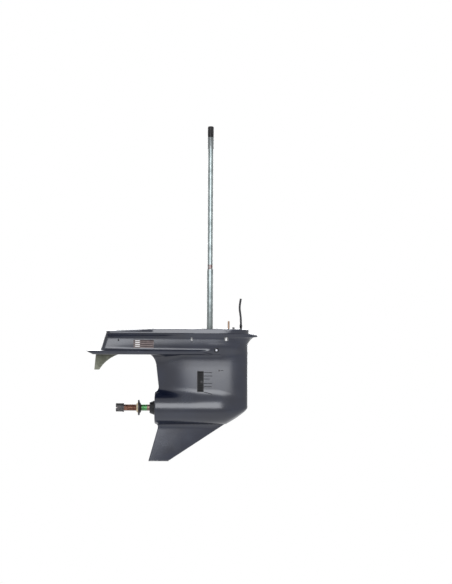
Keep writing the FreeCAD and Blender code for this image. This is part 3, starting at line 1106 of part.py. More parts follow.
def trim_tab():
    """Sacrificial trim tab under the plate and the bolt that holds it."""
    tab = new_body("trim_tab")
    base = outline_sketch(tab, "XY_Plane", [
        ("tab_base_front_x", "-tab_base_half"), ("tab_base_front_x", "tab_base_half"),
        ("tab_base_aft_x", "tab_base_half"), ("tab_base_aft_x", "-tab_base_half")],
        level("plate_foot"))
    pad(tab, base, "plate_foot - plate_top - plate_web")
    chord_x, chord_z = "(tab_foot_front_x - tab_front_x)", "(plate_foot - tab_foot)"
    chord = f"sqrt({chord_x}^2 + {chord_z}^2)"
    rise = f"sqrt(tab_curve_radius^2 - ({chord})^2 / 4)"
    fin = outline_sketch(tab, "XZ_Plane", [
        ("tab_aft_x", "-plate_foot"), ("tab_foot_aft_x", "-tab_foot"), ("tab_foot_front_x", "-tab_foot"),
        Arc(f"(tab_front_x + tab_foot_front_x) / 2 - {rise} * {chord_z} / {chord}",
            f"-(plate_foot + tab_foot) / 2 + {rise} * {chord_x} / {chord}", left=False),
        ("tab_front_x", "-plate_foot")])
    pad(tab, fin, "2 * tab_half", symmetric=True)
    pocket(tab, circle_sketch(tab, "XY_Plane", [("tab_bolt_x", "0", "tab_bolt_radius")],
                              level("plate_top + plate_web")), "plate_foot - plate_top - plate_web + 4")
    turned("trim_tab_bolt", "V_Axis", [
        ("0", "-plate_foot - 4"), ("tab_bolt_radius", "-plate_foot - 4"), ("tab_bolt_radius", "-tab_seat"),
        ("tab_head_radius", "-tab_seat"), ("tab_head_radius", "-tab_seat + tab_head_height"),
        ("0", "-tab_seat + tab_head_height")], x="tab_bolt_x")


def side_sign(side):
    """Plus for port, minus for starboard."""
    return "" if side == "port" else "-"


def skin_half(x):
    """Half width of the strut at a station aft of its widest one."""
    taper = "(strut_half_width - strut_tail_half)"
    back = f"(((widest_x - ({strut_tail('intake_top')}))^2 + {taper}^2) / (2 * {taper}))"
    return f"(strut_half_width - {back} + sqrt({back}^2 - ({x} - widest_x)^2))"


def intake_screens():
    """Barred water screens in the strut's two windows, and their screws."""
    screws = []
    for side in ("starboard", "port"):
        sign = side_sign(side)
        body = new_body("intake_screen_" + side)
        aft, front = "intake_aft_x + screen_play", "intake_front_x - screen_play"
        outer_aft = f"{sign}({skin_half('intake_aft_x')} + screen_proud)"
        outer_front = f"{sign}({skin_half('intake_front_x')} + screen_proud)"
        inner_aft = f"{sign}({skin_half('intake_aft_x')} - screen_depth)"
        inner_front = f"{sign}({skin_half('intake_front_x')} - screen_depth)"
        plate = outline_sketch(body, "XY_Plane", [
            (aft, inner_aft), (front, inner_front), (front, outer_front), (aft, outer_aft)],
            level("intake_foot - screen_play"))
        pad(body, plate, "intake_foot - intake_top - 2 * screen_play")
        pitch = "(intake_foot - intake_top - 2 * screen_rail - screen_slot)"
        slot = outline_sketch(body, "XZ_Plane", [
            ("intake_aft_x + screen_rail", "-intake_foot + screen_rail"),
            ("intake_front_x - screen_rail", "-intake_foot + screen_rail"),
            ("intake_front_x - screen_rail", "-intake_foot + screen_rail + screen_slot"),
            ("intake_aft_x + screen_rail", "-intake_foot + screen_rail + screen_slot")])
        cut = pocket(body, slot, "3 * strut_half_width", symmetric=True)
        along(body, [cut], slot, "V_Axis", pitch, "screen_slots")
        boss = circle_sketch(body, "XZ_Plane", [("screen_screw_x", "-screen_screw_drop",
                                                 "screen_screw_radius + 1.5")],
                             ("0", "0", f"-({sign}({skin_half('screen_screw_x')} - screen_depth / 2))"))
        pad(body, boss, "screen_depth", symmetric=True)
        centre = f"{sign}({skin_half('screen_screw_x')} + screen_proud)"
        screws.append(cylinder("screen_screw_radius", "screen_screw_reach", "Y", "screen_screw_x",
                               f"{centre} - screen_screw_reach / 2", "-screen_screw_drop"))
    for number, side in enumerate(("starboard", "port")):
        body = pieces["intake_screen_" + side]
        hole = circle_sketch(body, "XZ_Plane", [("screen_screw_x", "-screen_screw_drop",
                                                 "screen_screw_radius")])
        pocket(body, hole, "3 * strut_half_width", symmetric=True)
    group("intake_screen_screws", screws)


def louvre_grilles():
    """Slatted grilles in the two side windows of the aft bay."""
    for side in ("starboard", "port"):
        sign = side_sign(side)
        body = new_body("louvre_grille_" + side)
        half = "(aft_bay_half + grille_inset)"
        frame = outline_sketch(body, "XY_Plane", [
            ("louvre_aft_x", f"{sign}{half}"), ("louvre_front_x - 2", f"{sign}{half}"),
            ("louvre_front_x - 2", f"{sign}({half} + grille_depth)"),
            ("louvre_aft_x", f"{sign}({half} + grille_depth)")], level("louvre_foot"))
        pad(body, frame, "louvre_foot - louvre_top")
        rail = "((louvre_foot - louvre_top - grille_slats * grille_slot) / (grille_slats + 1))"
        slot = outline_sketch(body, "XZ_Plane", [
            ("louvre_aft_x + 3", f"-louvre_foot + {rail}"),
            ("louvre_front_x - 5", f"-louvre_foot + {rail}"),
            ("louvre_front_x - 5", f"-louvre_foot + {rail} + grille_slot"),
            ("louvre_aft_x + 3", f"-louvre_foot + {rail} + grille_slot")])
        cut = pocket(body, slot, "3 * deck_half_width", symmetric=True)
        along(body, [cut], slot, "V_Axis", f"(grille_slats - 1) * ({rail} + grille_slot)", "grille_slats")


def hose_path():
    """Straight runs of the hose joined by tangent arcs as large as the runs allow."""
    points = [Vector(x, 0, z) for x, z in HOSE_ROUTE]
    edges, cursor, length = [], points[0], 0.0
    for before, corner, after in zip(points, points[1:], points[2:]):
        back, ahead = (before - corner), (after - corner)
        short = min(back.Length, ahead.Length)
        turn = math.pi - back.getAngle(ahead)
        trim = 0.45 * short
        radius = trim / math.tan(turn / 2)
        back.normalize()
        ahead.normalize()
        first, last = corner + back * trim, corner + ahead * trim
        middle_way = (back + ahead).normalize()
        rise = radius / math.cos(turn / 2) - radius
        edges.append(Part.LineSegment(cursor, first).toShape())
        edges.append(Part.Arc(first, corner + middle_way * rise, last).toShape())
        length += (first - cursor).Length + radius * turn
        print(f"hose bend radius {radius:.1f} mm, turn {math.degrees(turn):.1f} degrees")
        cursor = last
    edges.append(Part.LineSegment(cursor, points[-1]).toShape())
    length += (points[-1] - cursor).Length
    return Part.Wire(edges), length


def hose():
    """Speedometer hose and the fitting that it leaves the deck by."""
    turned("hose_fitting", "V_Axis", [
        ("0", "-fitting_shank"), ("hose_radius", "-fitting_shank"), ("hose_radius", "0"),
        ("fitting_radius", "0"), ("fitting_radius", "fitting_top / 2"),
        ("fitting_bead", "fitting_top / 2 + 1"), ("fitting_bead", "fitting_top / 2 + 3"),
        ("fitting_radius", "fitting_top / 2 + 4"), ("fitting_radius", "fitting_top"),
        ("0", "fitting_top")], x="hose_x")
    path, length = hose_path()
    start = path.Edges[0].tangentAt(path.Edges[0].FirstParameter)
    section = Part.Wire([Part.Circle(Vector(*[path.Edges[0].Vertexes[0].Point.x, 0,
                        path.Edges[0].Vertexes[0].Point.z]), start, value("hose_radius")).toShape()])
    tube = path.makePipeShell([section], True, True)
    expected = math.pi * value("hose_radius") ** 2 * length
    print(f"hose length {length:.1f} mm, volume ratio {tube.Volume / expected:.5f}")
    solid = doc.addObject("Part::Feature", "Hose")
    solid.Shape = tube
    piece("speedometer_hose", solid)


def side_hole(body, side, x, drop, radius, seat, depth):
    """Round cut from outside the skin, down to a depth below a seat plane."""
    sign = "-" if side == "port" else ""
    hole = circle_sketch(body, "XZ_Plane", [(x, f"-({drop})", radius)],
                         ("0", "0", f"{sign}({seat} + plate_half_width)"))
    pocket(body, hole, f"{depth} + plate_half_width", reverse=side == "port")


def plugs():
    """Oil plugs with their gaskets and the small screw on the strut's side."""
    gaskets = []
    for name, side, x, drop, seat, length in (
            ("oil_level_plug", "starboard", "level_plug_x", "level_plug_drop", "level_plug_seat",
             "plug_length"),
            ("oil_drain_plug", "port", "drain_plug_x", "axis_drop", "drain_plug_seat",
             "drain_plug_length")):
        sign = side_sign(side)
        turned(name, "V_Axis", [
            ("0", f"{sign}({seat} - {length})"), ("plug_shank_radius", f"{sign}({seat} - {length})"),
            ("plug_shank_radius", f"{sign}({seat} + plug_gasket)"),
            ("plug_head_radius", f"{sign}({seat} + plug_gasket)"),
            ("plug_head_radius", f"{sign}({seat} + plug_gasket + plug_head_height)"),
            ("0", f"{sign}({seat} + plug_gasket + plug_head_height)")],
            x=x, z=f"-({drop})", plane="XY_Plane")
        foot = seat if side == "port" else f"-({seat} + plug_gasket)"
        washer = doc.addObject("Part::Cut", "Washer")
        washer.Base = cylinder("plug_head_radius", "plug_gasket", "Y", x, foot, f"-({drop})")
        washer.Tool = cylinder("plug_shank_radius", "plug_gasket", "Y", x, foot, f"-({drop})")
        gaskets.append(washer)
    group("plug_gaskets", gaskets)
    piece("side_passage_screw", cylinder(
        "side_screw_radius", "side_screw_length", "Y", "side_screw_x",
        "-side_screw_seat", "-side_screw_drop"))


gearcase_housing()
driveshaft()
gears()
gear_bearings()
driveshaft_bearings()
water_pump()
shift_parts()
clutch()
propeller_shaft()
carrier()
trim_tab()
intake_screens()
louvre_grilles()
plugs()
hose()
doc.recompute()

for thing in doc.Objects:
    if "Invalid" in thing.State or "Error" in thing.State:
        owner = thing.getParentGeoFeatureGroup()
        raise RuntimeError(f"{owner.Label if owner else ''} {thing.Label} failed: {thing.State}")

os.makedirs("parts", exist_ok=True)
for name, thing in pieces.items():
    if thing.Shape.isNull() or not thing.Shape.isValid():
        raise RuntimeError(f"{name} has no valid shape")
    thing.Shape.exportStep(f"parts/{name}.step")
    box = thing.Shape.BoundBox
    print(f"{name}: {len(thing.Shape.Solids)} solid, {thing.Shape.Volume / 1000:.2f} cm3, "
          f"x {box.XMin:.1f} {box.XMax:.1f}, y {box.YMin:.1f} {box.YMax:.1f}, "
          f"z {box.ZMin:.1f} {box.ZMax:.1f}")
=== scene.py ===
"""Looks of an outboard lower unit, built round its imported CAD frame.

Metres in the CAD frame: +X forward, +Y to port, +Z up, the origin where the driveshaft
axis meets the deck. The casting and its cutters are worked out in millimetres.
"""

import json
from math import pi, radians

import bmesh
import bpy
import numpy as np
from mathutils import Euler, Matrix, Vector


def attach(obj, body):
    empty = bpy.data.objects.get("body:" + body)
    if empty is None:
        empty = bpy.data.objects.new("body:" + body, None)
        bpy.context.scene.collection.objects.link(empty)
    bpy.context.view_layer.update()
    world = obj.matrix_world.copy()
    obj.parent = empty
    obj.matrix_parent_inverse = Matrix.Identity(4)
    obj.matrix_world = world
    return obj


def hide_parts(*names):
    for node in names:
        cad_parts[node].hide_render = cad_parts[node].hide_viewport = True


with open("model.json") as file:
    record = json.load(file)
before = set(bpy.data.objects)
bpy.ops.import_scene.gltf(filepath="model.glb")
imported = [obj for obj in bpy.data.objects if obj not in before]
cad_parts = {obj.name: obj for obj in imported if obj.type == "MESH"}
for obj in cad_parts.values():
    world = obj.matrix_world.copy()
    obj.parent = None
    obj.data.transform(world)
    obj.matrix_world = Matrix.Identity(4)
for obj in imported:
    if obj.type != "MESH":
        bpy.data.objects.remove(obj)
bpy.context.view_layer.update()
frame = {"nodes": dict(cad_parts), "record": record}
NODES = frame["nodes"]
BODY_OF = {node: body for body, nodes in frame["record"]["behaviour"]["bodies"].items()
           for node in nodes}
SLOT_OF = {part["node"]: part["material_slot"] for part in frame["record"]["subparts"]}
MM = 0.001
AXIS_Z = -265.0  # height of the torpedo's axis, in millimetres


def placed(name, data):
    """An object in the scene for a mesh, curve, lamp or camera."""
    made = bpy.data.objects.new(name, data)
    bpy.context.collection.objects.link(made)
    return made


# ---- Camera

VIEW_CENTRE = (0.0536, 0.1233)
VIEW_HEIGHT = 1.956
CAMERA_BACK = 10.0
CAMERA_REACH = 60.0
SENSOR = 36.0
ROLL = radians(0.3)

eye = bpy.data.cameras.new("product_camera")
eye.sensor_width = SENSOR
eye.lens = SENSOR * CAMERA_BACK / VIEW_HEIGHT
eye.clip_end = CAMERA_REACH
camera = placed("product_camera", eye)
camera.location = (VIEW_CENTRE[0], -CAMERA_BACK, VIEW_CENTRE[1])
camera.rotation_euler = Euler((pi / 2, -ROLL, 0))
bpy.context.scene.camera = camera


# ---- Shader nodes

# A Mix node's sockets for colours, whose names its other kinds of value share
MIX_SHARE, MIX_FIRST, MIX_SECOND = 0, 6, 7
MIX_COLOUR = 2


class Wire:
    """A shader socket that Python's own arithmetic adds Math nodes to."""

    def __init__(self, tree, socket):
        self.tree, self.socket = tree, socket

    def _math(self, operation, *values):
        return self.tree.node("ShaderNodeMath", {"operation": operation}, dict(enumerate(values)))

    def __add__(self, other):
        return self._math("ADD", self, other)

    __radd__ = __add__

    def __sub__(self, other):
        return self._math("SUBTRACT", self, other)

    def __rsub__(self, other):
        return self._math("SUBTRACT", other, self)

    def __mul__(self, other):
        return self._math("MULTIPLY", self, other)

    __rmul__ = __mul__

    def power(self, other):
        return self._math("POWER", self, other)

    def size(self):
        return self._math("ABSOLUTE", self)

    def most(self, other):
        return self._math("MAXIMUM", self, other)

    def ramp(self, low, high):
        """Smooth rise from 0 at low to 1 at high, or a fall where low is the larger."""
        if low > high:
            return 1 - self.ramp(high, low)
        return self.tree.node("ShaderNodeMapRange", {"interpolation_type": "SMOOTHSTEP"}, {
            "Value": self, "From Min": low, "From Max": high}, ("Result",))

    def band(self, low, high, soft):
        """1 between low and high, with soft edges."""
        return self.ramp(low - soft, low + soft) * self.ramp(high + soft, high - soft)


class Tree:
    """The nodes of a material or of the world."""

    def __init__(self, nodes):
        self.tree = nodes

    def node(self, kind, settings=None, sockets=None, outputs=(0,)):
        """Any node: settings first, then its sockets' values or links. Gives its wires."""
        made = self.tree.nodes.new(kind)
        for key, setting in (settings or {}).items():
            setattr(made, key, setting)
        for key, given in (sockets or {}).items():
            self.feed(made.inputs[key], given)
        wires = [Wire(self, made.outputs[key]) for key in outputs]
        return wires[0] if len(wires) == 1 else wires

    def feed(self, socket, given):
        """Link a wire to a socket, or set the socket's own value."""
        if isinstance(given, Wire):
            self.tree.links.new(given.socket, socket)
        else:
            socket.default_value = given

    def background_rays(self):
        """1 for the rays that show the white surroundings, 0 for the rays that light."""
        seen, mirrored, refracted = self.node("ShaderNodeLightPath", outputs=(
            "Is Camera Ray", "Is Glossy Ray", "Is Transmission Ray"))
        return seen.most(mirrored).most(refracted)


def opaque(given):
    """A colour with its alpha, and anything else as it is."""
    return (*given, 1) if isinstance(given, tuple) else given


class Shader(Tree):
    """One procedural material."""

    def __init__(self, name):
        self.material = bpy.data.materials.new(name)
        self.material.use_nodes = True
        super().__init__(self.material.node_tree)
        self.main = next(n for n in self.tree.nodes if n.type == "BSDF_PRINCIPLED")
        self.place = self.node("ShaderNodeTexCoord", outputs=("Object",))

    def axes(self):
        """X, Y and Z of a point on the piece, in metres."""
        return self.node("ShaderNodeSeparateXYZ", None, {"Vector": self.place}, ("X", "Y", "Z"))

    def stretched(self, scale):
        """The point with each axis scaled, for drawn-out patterns."""
        return self.node("ShaderNodeMapping", None, {"Vector": self.place, "Scale": scale})

    def noise(self, scale, detail=4.0, rough=0.55, vector=None):
        return self.node("ShaderNodeTexNoise", None, {
            "Vector": vector or self.place, "Scale": scale, "Detail": detail,
            "Roughness": rough}, ("Fac",))

    def blend(self, share, first, second):
        """Colour between two colours by a share."""
        return self.node("ShaderNodeMix", {"data_type": "RGBA"}, {
            MIX_SHARE: share, MIX_FIRST: opaque(first), MIX_SECOND: opaque(second)},
            (MIX_COLOUR,))

    def bump(self, height, distance, strength, under=None):
        sockets = {"Height": height, "Distance": distance, "Strength": strength}
        if under:
            sockets["Normal"] = under
        return self.node("ShaderNodeBump", None, sockets)

    def set(self, **sockets):
        """The material, with its shader's sockets set by name."""
        for key, given in sockets.items():
            self.feed(self.main.inputs[key.replace("_", " ")], opaque(given))
        return self.material


def radius(first, second):
    """Distance from an axis, from the distances along two axes across it."""
    return (first * first + second * second).power(0.5)


# ---- Materials, with their marks' places in metres

SKEG_WEAR_Z = (-0.4385, -0.4445)
BLACKENED_HEAD_Z = (0.6405, 0.6425)
GROUND_HEAD_Z = (0.602, 0.6405)
WARM_STAIN_Z = (0.1995, 0.214)
FAINT_RING_Z = (0.2655, 0.2675)
DULL_FOOT_Z = (0.10, 0.02)
SPLINES_X = (-0.285, -0.242)
GREEN_PAINT_X = (-0.2275, -0.209)
TAB_ROOT_SHADE_Z = (-0.096, -0.087)
WASHER_CONE_R = (0.0185, 0.0205)
WASHER_RIM_X = (-0.2390, -0.2370)
PLUG_HIGHLIGHT_R = (0.0042, 0.0026)
SLAT_ROOT_SHADE_Y = (0.0395, 0.036)
PLUG_X, PLUG_Z = 23.0, -71.0  # oil level plug, in millimetres
LINES_ROUND_Z = (1.0, 1.0, 900.0)
LINES_ROUND_X = (900.0, 1.0, 1.0)


def gearcase_paint():
    """Glossy navy-black paint with orange peel, a thin film of dust and a rubbed skeg foot."""
    s = Shader("gearcase_paint")
    z = s.axes()[2]
    cloud = s.noise(9.0, 3.0)
    peel = s.noise(420.0, 2.0)
    fine = s.noise(2600.0, 2.0)
    film = s.noise(14.0).ramp(0.45, 0.8)
    worn = z.ramp(*SKEG_WEAR_Z) * s.noise(320.0, 5.0, 0.7).ramp(0.46, 0.6)
    paint = s.blend(cloud.ramp(0.35, 0.65), (0.0045, 0.0065, 0.017), (0.007, 0.011, 0.027))
    paint = s.blend(film * 0.04, paint, (0.16, 0.18, 0.21))
    paint = s.blend(worn, paint, (0.30, 0.30, 0.29))
    normal = s.bump(peel, 0.00012, 0.10)
    normal = s.bump(fine, 0.00002, 0.10, normal)
    return s.set(Base_Color=paint, Roughness=0.20 + film * 0.08 + cloud * 0.04 + worn * 0.3,
                 Metallic=worn, Normal=normal, IOR=1.58)


def bare_casting():
    """Machined and cast alloy inside the gearcase's bores."""
    s = Shader("bare_casting")
    grain = s.noise(900.0, 4.0, 0.7)
    stain = s.noise(60.0, 5.0, 0.6)
    colour = s.blend(stain.ramp(0.4, 0.7), (0.50, 0.50, 0.50), (0.28, 0.275, 0.26))
    return s.set(Base_Color=colour, Metallic=0.85, Roughness=0.38 + 0.25 * grain,
                 Normal=s.bump(grain, 0.0002, 0.5))


def turned_steel(name, light, dark, rough, lines=LINES_ROUND_Z, metallic=1.0, marks=None):
    """Ground or turned steel: fine lines round the axis, stains and slight rust freckles."""
    s = Shader(name)
    line = s.noise(3.0, 3.0, 0.6, s.stretched(lines))
    stain = s.noise(45.0, 5.0, 0.62)
    freckle = s.noise(700.0, 3.0, 0.6).ramp(0.66, 0.76) * stain.ramp(0.48, 0.62)
    colour = s.blend(stain.ramp(0.36, 0.68) * 0.8 + line * 0.2, light, dark)
    colour = s.blend(freckle * 0.6, colour, (0.12, 0.05, 0.025))
    if marks:
        colour = marks(s, colour)
    return s.set(Base_Color=colour, Metallic=metallic, Normal=s.bump(line, 0.00006, 0.5),
                 Roughness=rough + 0.16 * (line - 0.5) + freckle * 0.3)


def driveshaft_marks(s, colour):
    """Blackened splined head, a warm stain above the lower step and a faint ring."""
    z = s.axes()[2]
    cloud = s.noise(120.0, 4.0)
    colour = s.blend(z.ramp(*BLACKENED_HEAD_Z) * 0.95, colour, (0.035, 0.033, 0.035))
    colour = s.blend(z.band(*GROUND_HEAD_Z, 0.0006) * 0.45, colour, (0.10, 0.095, 0.10))
    warm = z.band(*WARM_STAIN_Z, 0.003) * cloud.ramp(0.3, 0.6)
    colour = s.blend(warm * 0.8, colour, (0.12, 0.05, 0.045))
    colour = s.blend(z.band(*FAINT_RING_Z, 0.0005) * 0.35, colour, (0.06, 0.06, 0.07))
    return s.blend(z.ramp(*DULL_FOOT_Z) * cloud * 0.5, colour, (0.09, 0.085, 0.08))


def propeller_shaft_marks(s, colour):
    """Green assembly paint ahead of the thrust washer and coppery grease on the splines."""
    x = s.axes()[0]
    patch = s.noise(160.0, 5.0, 0.65)
    grease = s.noise(260.0, 5.0, 0.7)
    copper = s.blend(grease.ramp(0.35, 0.65), (0.055, 0.022, 0.016), (0.21, 0.10, 0.065))
    colour = s.blend(x.band(*SPLINES_X, 0.001), colour, copper)
    green = s.blend(grease.ramp(0.3, 0.7), (0.04, 0.15, 0.05), (0.11, 0.30, 0.12))
    band = x.band(*GREEN_PAINT_X, 0.001) * patch.ramp(0.22, 0.34)
    return s.blend(band, colour, green)


def dark_moulding(name, colour, rough=0.42, grain=1500.0):
    """Moulded plastic or rubber with a fine grain and rubbed, paler high spots."""
    s = Shader(name)
    texture = s.noise(grain, 3.0, 0.6)
    rub = s.noise(90.0, 5.0, 0.65)
    pale = tuple(c * 2.2 + 0.012 for c in colour)
    return s.set(Base_Color=s.blend(rub.ramp(0.5, 0.8), colour, pale),
                 Roughness=rough + 0.18 * (rub - 0.5), Specular_IOR_Level=0.25,
                 Normal=s.bump(texture, 0.00012, 0.4))


def cast_zinc():
    """Dull sacrificial zinc: pitted, grey-olive and chalky in patches, with painted shade at its
    root.
    """
    s = Shader("cast_zinc")
    z = s.axes()[2]
    pit = s.noise(330.0, 6.0, 0.72)
    chalk = s.noise(40.0, 5.0, 0.65)
    colour = s.blend(chalk.ramp(0.35, 0.7), (0.09, 0.095, 0.068), (0.19, 0.195, 0.15))
    # Painted shade: darker towards the tab's root under the plate.
    colour = s.blend(z.ramp(*TAB_ROOT_SHADE_Z) * 0.7, colour, (0.05, 0.05, 0.04))
    return s.set(Base_Color=colour, Metallic=0.25, Roughness=0.62 + 0.2 * (pit - 0.5),
                 Normal=s.bump(pit, 0.0007, 0.55))


def thrust_brass():
    """Thrust washer: pale brassy cone aft and black greased rim ahead of it."""
    s = Shader("thrust_brass")
    x, y, z = s.axes()
    smear = s.noise(240.0, 4.0, 0.65)
    brass = s.blend(smear.ramp(0.35, 0.65), (0.50, 0.42, 0.28), (0.70, 0.62, 0.45))
    black = s.blend(smear.ramp(0.4, 0.7), (0.012, 0.011, 0.012), (0.035, 0.03, 0.028))
    rim = radius(y, z - AXIS_Z * MM).ramp(*WASHER_CONE_R).most(x.ramp(*WASHER_RIM_X))
    return s.set(Base_Color=s.blend(rim, brass, black), Metallic=0.75 - rim * 0.45,
                 Roughness=0.38 + smear * 0.2, Normal=s.bump(smear, 0.0002, 0.4))


def plug_steel():
    """Oil level plug: greased dark rim and a painted highlight in its middle."""
    s = Shader("plug_steel")
    x, _, z = s.axes()
    # Painted highlight: a bright disc in the middle of the plug.
    middle = radius(x - PLUG_X * MM, z - PLUG_Z * MM).ramp(*PLUG_HIGHLIGHT_R)
    return s.set(Base_Color=s.blend(middle, (0.02, 0.02, 0.022), (0.26, 0.26, 0.28)),
                 Metallic=0.9, Roughness=0.35 + 0.2 * s.noise(500.0))


def grille_moulding():
    """Brown-grey louvres, with painted shade darkening them towards their roots."""
    s = Shader("grille_moulding")
    y = s.axes()[1]
    cloud = s.noise(120.0, 4.0)
    # Painted shade: near-black towards the slats' roots inside the window.
    deep = y.size().ramp(*SLAT_ROOT_SHADE_Y)
    colour = s.blend(cloud.ramp(0.35, 0.65), (0.14, 0.10, 0.095), (0.25, 0.19, 0.18))
    return s.set(Base_Color=s.blend(deep * 0.85, colour, (0.012, 0.01, 0.012)),
                 Roughness=0.4 + cloud * 0.15, Normal=s.bump(s.noise(1400.0), 0.0001, 0.4))


PAINT = gearcase_paint()
CASTING = bare_casting()
# Painted shade: near-black walls inside the windows, grooves and small holes stand in for the
# shade there.
SHADOW = dark_moulding("inner_walls_painted_shade", (0.006, 0.006, 0.007), 0.6)
FINISH = {
    "painted_alloy": PAINT,
    "cast_alloy": CASTING,
    "zinc_alloy": cast_zinc(),
    "brass": thrust_brass(),
    "grille_plastic": grille_moulding(),
    "black_plastic": dark_moulding("black_moulding", (0.011, 0.011, 0.012)),
    "seal_rubber": dark_moulding("seal_rubber", (0.014, 0.014, 0.015), 0.55),
    "hose_rubber": dark_moulding("hose_rubber", (0.009, 0.009, 0.011), 0.38),
    "black_carrier": dark_moulding("carrier_paint", (0.012, 0.012, 0.014), 0.34, 700.0),
    "dark_steel": turned_steel(
        "blackened_steel", (0.06, 0.058, 0.06), (0.02, 0.019, 0.02), 0.42, metallic=0.7),
    "stainless_steel": turned_steel(
        "stainless_steel", (0.56, 0.56, 0.57), (0.38, 0.38, 0.39), 0.30),
    "bearing_steel": turned_steel(
        "bearing_steel", (0.55, 0.55, 0.57), (0.42, 0.42, 0.44), 0.22),
    "gear_steel": turned_steel("gear_steel", (0.34, 0.34, 0.35), (0.20, 0.20, 0.21), 0.34),
    "bronze": turned_steel("bearing_bronze", (0.42, 0.29, 0.16), (0.28, 0.18, 0.10), 0.34),
    "shaft_steel": turned_steel(
        "shaft_steel", (0.25, 0.285, 0.285), (0.14, 0.165, 0.165), 0.36, marks=driveshaft_marks),
    "prop_shaft_steel": turned_steel(
        "propeller_shaft_steel", (0.20, 0.13, 0.11), (0.07, 0.042, 0.036), 0.34,
        LINES_ROUND_X, 0.8, propeller_shaft_marks),
    "brown_steel": turned_steel(
        "brown_steel", (0.36, 0.25, 0.18), (0.18, 0.11, 0.075), 0.44, metallic=0.7),
}

LOOK = {node: FINISH[SLOT_OF[node]] for node in NODES}
LOOK["oil_level_plug"] = plug_steel()
LOOK["intake_screen_screws"] = LOOK["oil_drain_plug"] = FINISH["dark_steel"]
for node, thing in NODES.items():
    thing.data.materials.clear()
    thing.data.materials.append(LOOK[node])


# ---- Pieces

SHARP_EDGE = 34.0
CAD_MERGE = 3e-6
FLAT_ENOUGH = radians(0.7)


def keep(name, mesh, body, materials=None, replaced=()):
    """A finished piece at the origin that rides on a body."""
    made = placed(name, mesh)
    if materials:
        mesh.materials.clear()
        for material in materials:
            mesh.materials.append(material)
    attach(made, body)
    if replaced:
        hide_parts(*replaced)
    return made


def mesh_of(bm, name):
    """A new mesh in place of a bmesh."""
    mesh = bpy.data.meshes.new(name)
    bm.to_mesh(mesh)
    bm.free()
    return mesh


def joined(parts, name):
    """One mesh in place of several bmeshes."""
    whole = bmesh.new()
    for part in parts:
        mesh = mesh_of(part, name)
        whole.from_mesh(mesh)
        bpy.data.meshes.remove(mesh)
    return mesh_of(whole, name)


def shaded(mesh, sharp=SHARP_EDGE):
    """The mesh, smooth but for the edges that turn more than an angle in degrees."""
    mesh.shade_smooth()
    mesh.set_sharp_from_angle(angle=radians(sharp))
    return mesh


def dressed(node):
    """Copy of a CAD node with its triangles merged and its round faces shaded smooth."""
    bm = bmesh.new()
    bm.from_mesh(NODES[node].data)
    bmesh.ops.remove_doubles(bm, verts=bm.verts, dist=CAD_MERGE)
    bmesh.ops.dissolve_limit(bm, angle_limit=FLAT_ENOUGH, verts=bm.verts, edges=bm.edges)
    keep(node + "_finished", shaded(mesh_of(bm, node)), BODY_OF[node],
         [LOOK[node]], [node])


# ---- Hose

HOSE_ROUTE = [(104.0, 15.0), (104.0, 30.0), (102.4, 47.0), (99.6, 64.0), (99.9, 82.0),
              (103.5, 101.0)]
HOSE_RADIUS = 0.0035

line = bpy.data.curves.new("speedometer_line", "CURVE")
line.dimensions = "3D"
line.resolution_u = 24
line.bevel_depth = HOSE_RADIUS
line.bevel_resolution = 6
line.use_fill_caps = True
run = line.splines.new("NURBS")
run.points.add(len(HOSE_ROUTE) - 1)
for point, (x, z) in zip(run.points, HOSE_ROUTE):
    point.co = (x * MM, 0.0, z * MM, 1.0)
run.order_u = 3
run.use_endpoint_u = True
hose = keep("speedometer_line", line, "gearcase", [FINISH["hose_rubber"]],
            ["speedometer_hose"])


# ---- Gearcase casting as distances, in millimetres until it's a mesh

FAR_OUT = 99.0  # a distance for where a form isn't
WIDEST_X = 10.0
NOSE_POWER = 2.1
STRUT_NOSE_X = 127.0

HEIGHTS = np.arange(-300.0, 1.0)
WIDTH_Z = [-300.0, -125.0, -104.0, -90.0, -79.5, -73.0, -66.0, -58.0, -48.0, -38.0, -27.0, 0.0]
WIDTH = [38.0, 38.0, 38.5, 40.0, 44.6, 49.6, 53.0, 55.2, 56.2, 56.8, 57.4, 60.6]
SMOOTHING = np.hanning(23)
HALVES = np.convolve(
    np.pad(np.interp(HEIGHTS, WIDTH_Z, WIDTH), SMOOTHING.size // 2, "edge"),
    SMOOTHING / SMOOTHING.sum(), "valid")

DECK_STEP_X, DECK_STEP_DROP, DECK_STEP_END_X, DECK_STEP_SLOPE = -188.0, 0.8, -186.0, 0.5
DECK_TAIL_RUN, DECK_TAIL_DROP, DECK_LOWEST = 158.0, 7.2, -9.0
DECK_NOSE_X, DECK_NOSE_RUN, DECK_NOSE_DROP = 92.0, 68.0, 5.0

BODY_SWEEP, BODY_SWEEP_Z, BODY_SWEEP_RISE = 21.0, -58.0, 31.0
BODY_TAIL_X, BODY_TAIL_Z, BODY_TAIL_LEAN, BODY_TAIL_DEEP = -346.0, -14.0, 0.30, 80.0
BODY_TAIL_HALF, BODY_FOIL_BEYOND, BODY_CORNER = 43.0, 6.0, 14.0

RIM_FOOT_Z, RIM_NOSE_X, RIM_TAIL_X, RIM_FOIL_TAIL_X = -16.0, 131.0, -345.5, -352.0
RIM_PROUD, RIM_TAIL_HALF, RIM_DEEP = 1.4, 45.5, 12.0
RIM_LEAN, RIM_LEAN_X, RIM_LEAN_RUN, RIM_TAIL_LEAN = 0.22, 78.0, 20.0, -0.13

RIB_NOSE_X, RIB_TAIL_X, RIB_FOIL_TAIL_X, RIB_TAIL_HALF = 160.3, -346.0, -350.0, 44.0
RIB_TOP_Z, RIB_TOP_DROP, RIB_TOP_X, RIB_TOP_RUN = -16.0, 5.0, 134.0, 26.0
RIB_FOOT_Z, RIB_FOOT_RISE, RIB_FOOT_X, RIB_FOOT_RUN = -28.5, 1.5, 138.0, 22.0
RIB_PROUD, RIB_LEAN_Z, RIB_LEAN_RISE = 6.0, -29.0, 12.0
RIB_CORNER, RIB_TOP_EDGE, RIB_FOOT_EDGE, RIB_FILLET = 10.0, 2.5, 2.0, 3.5

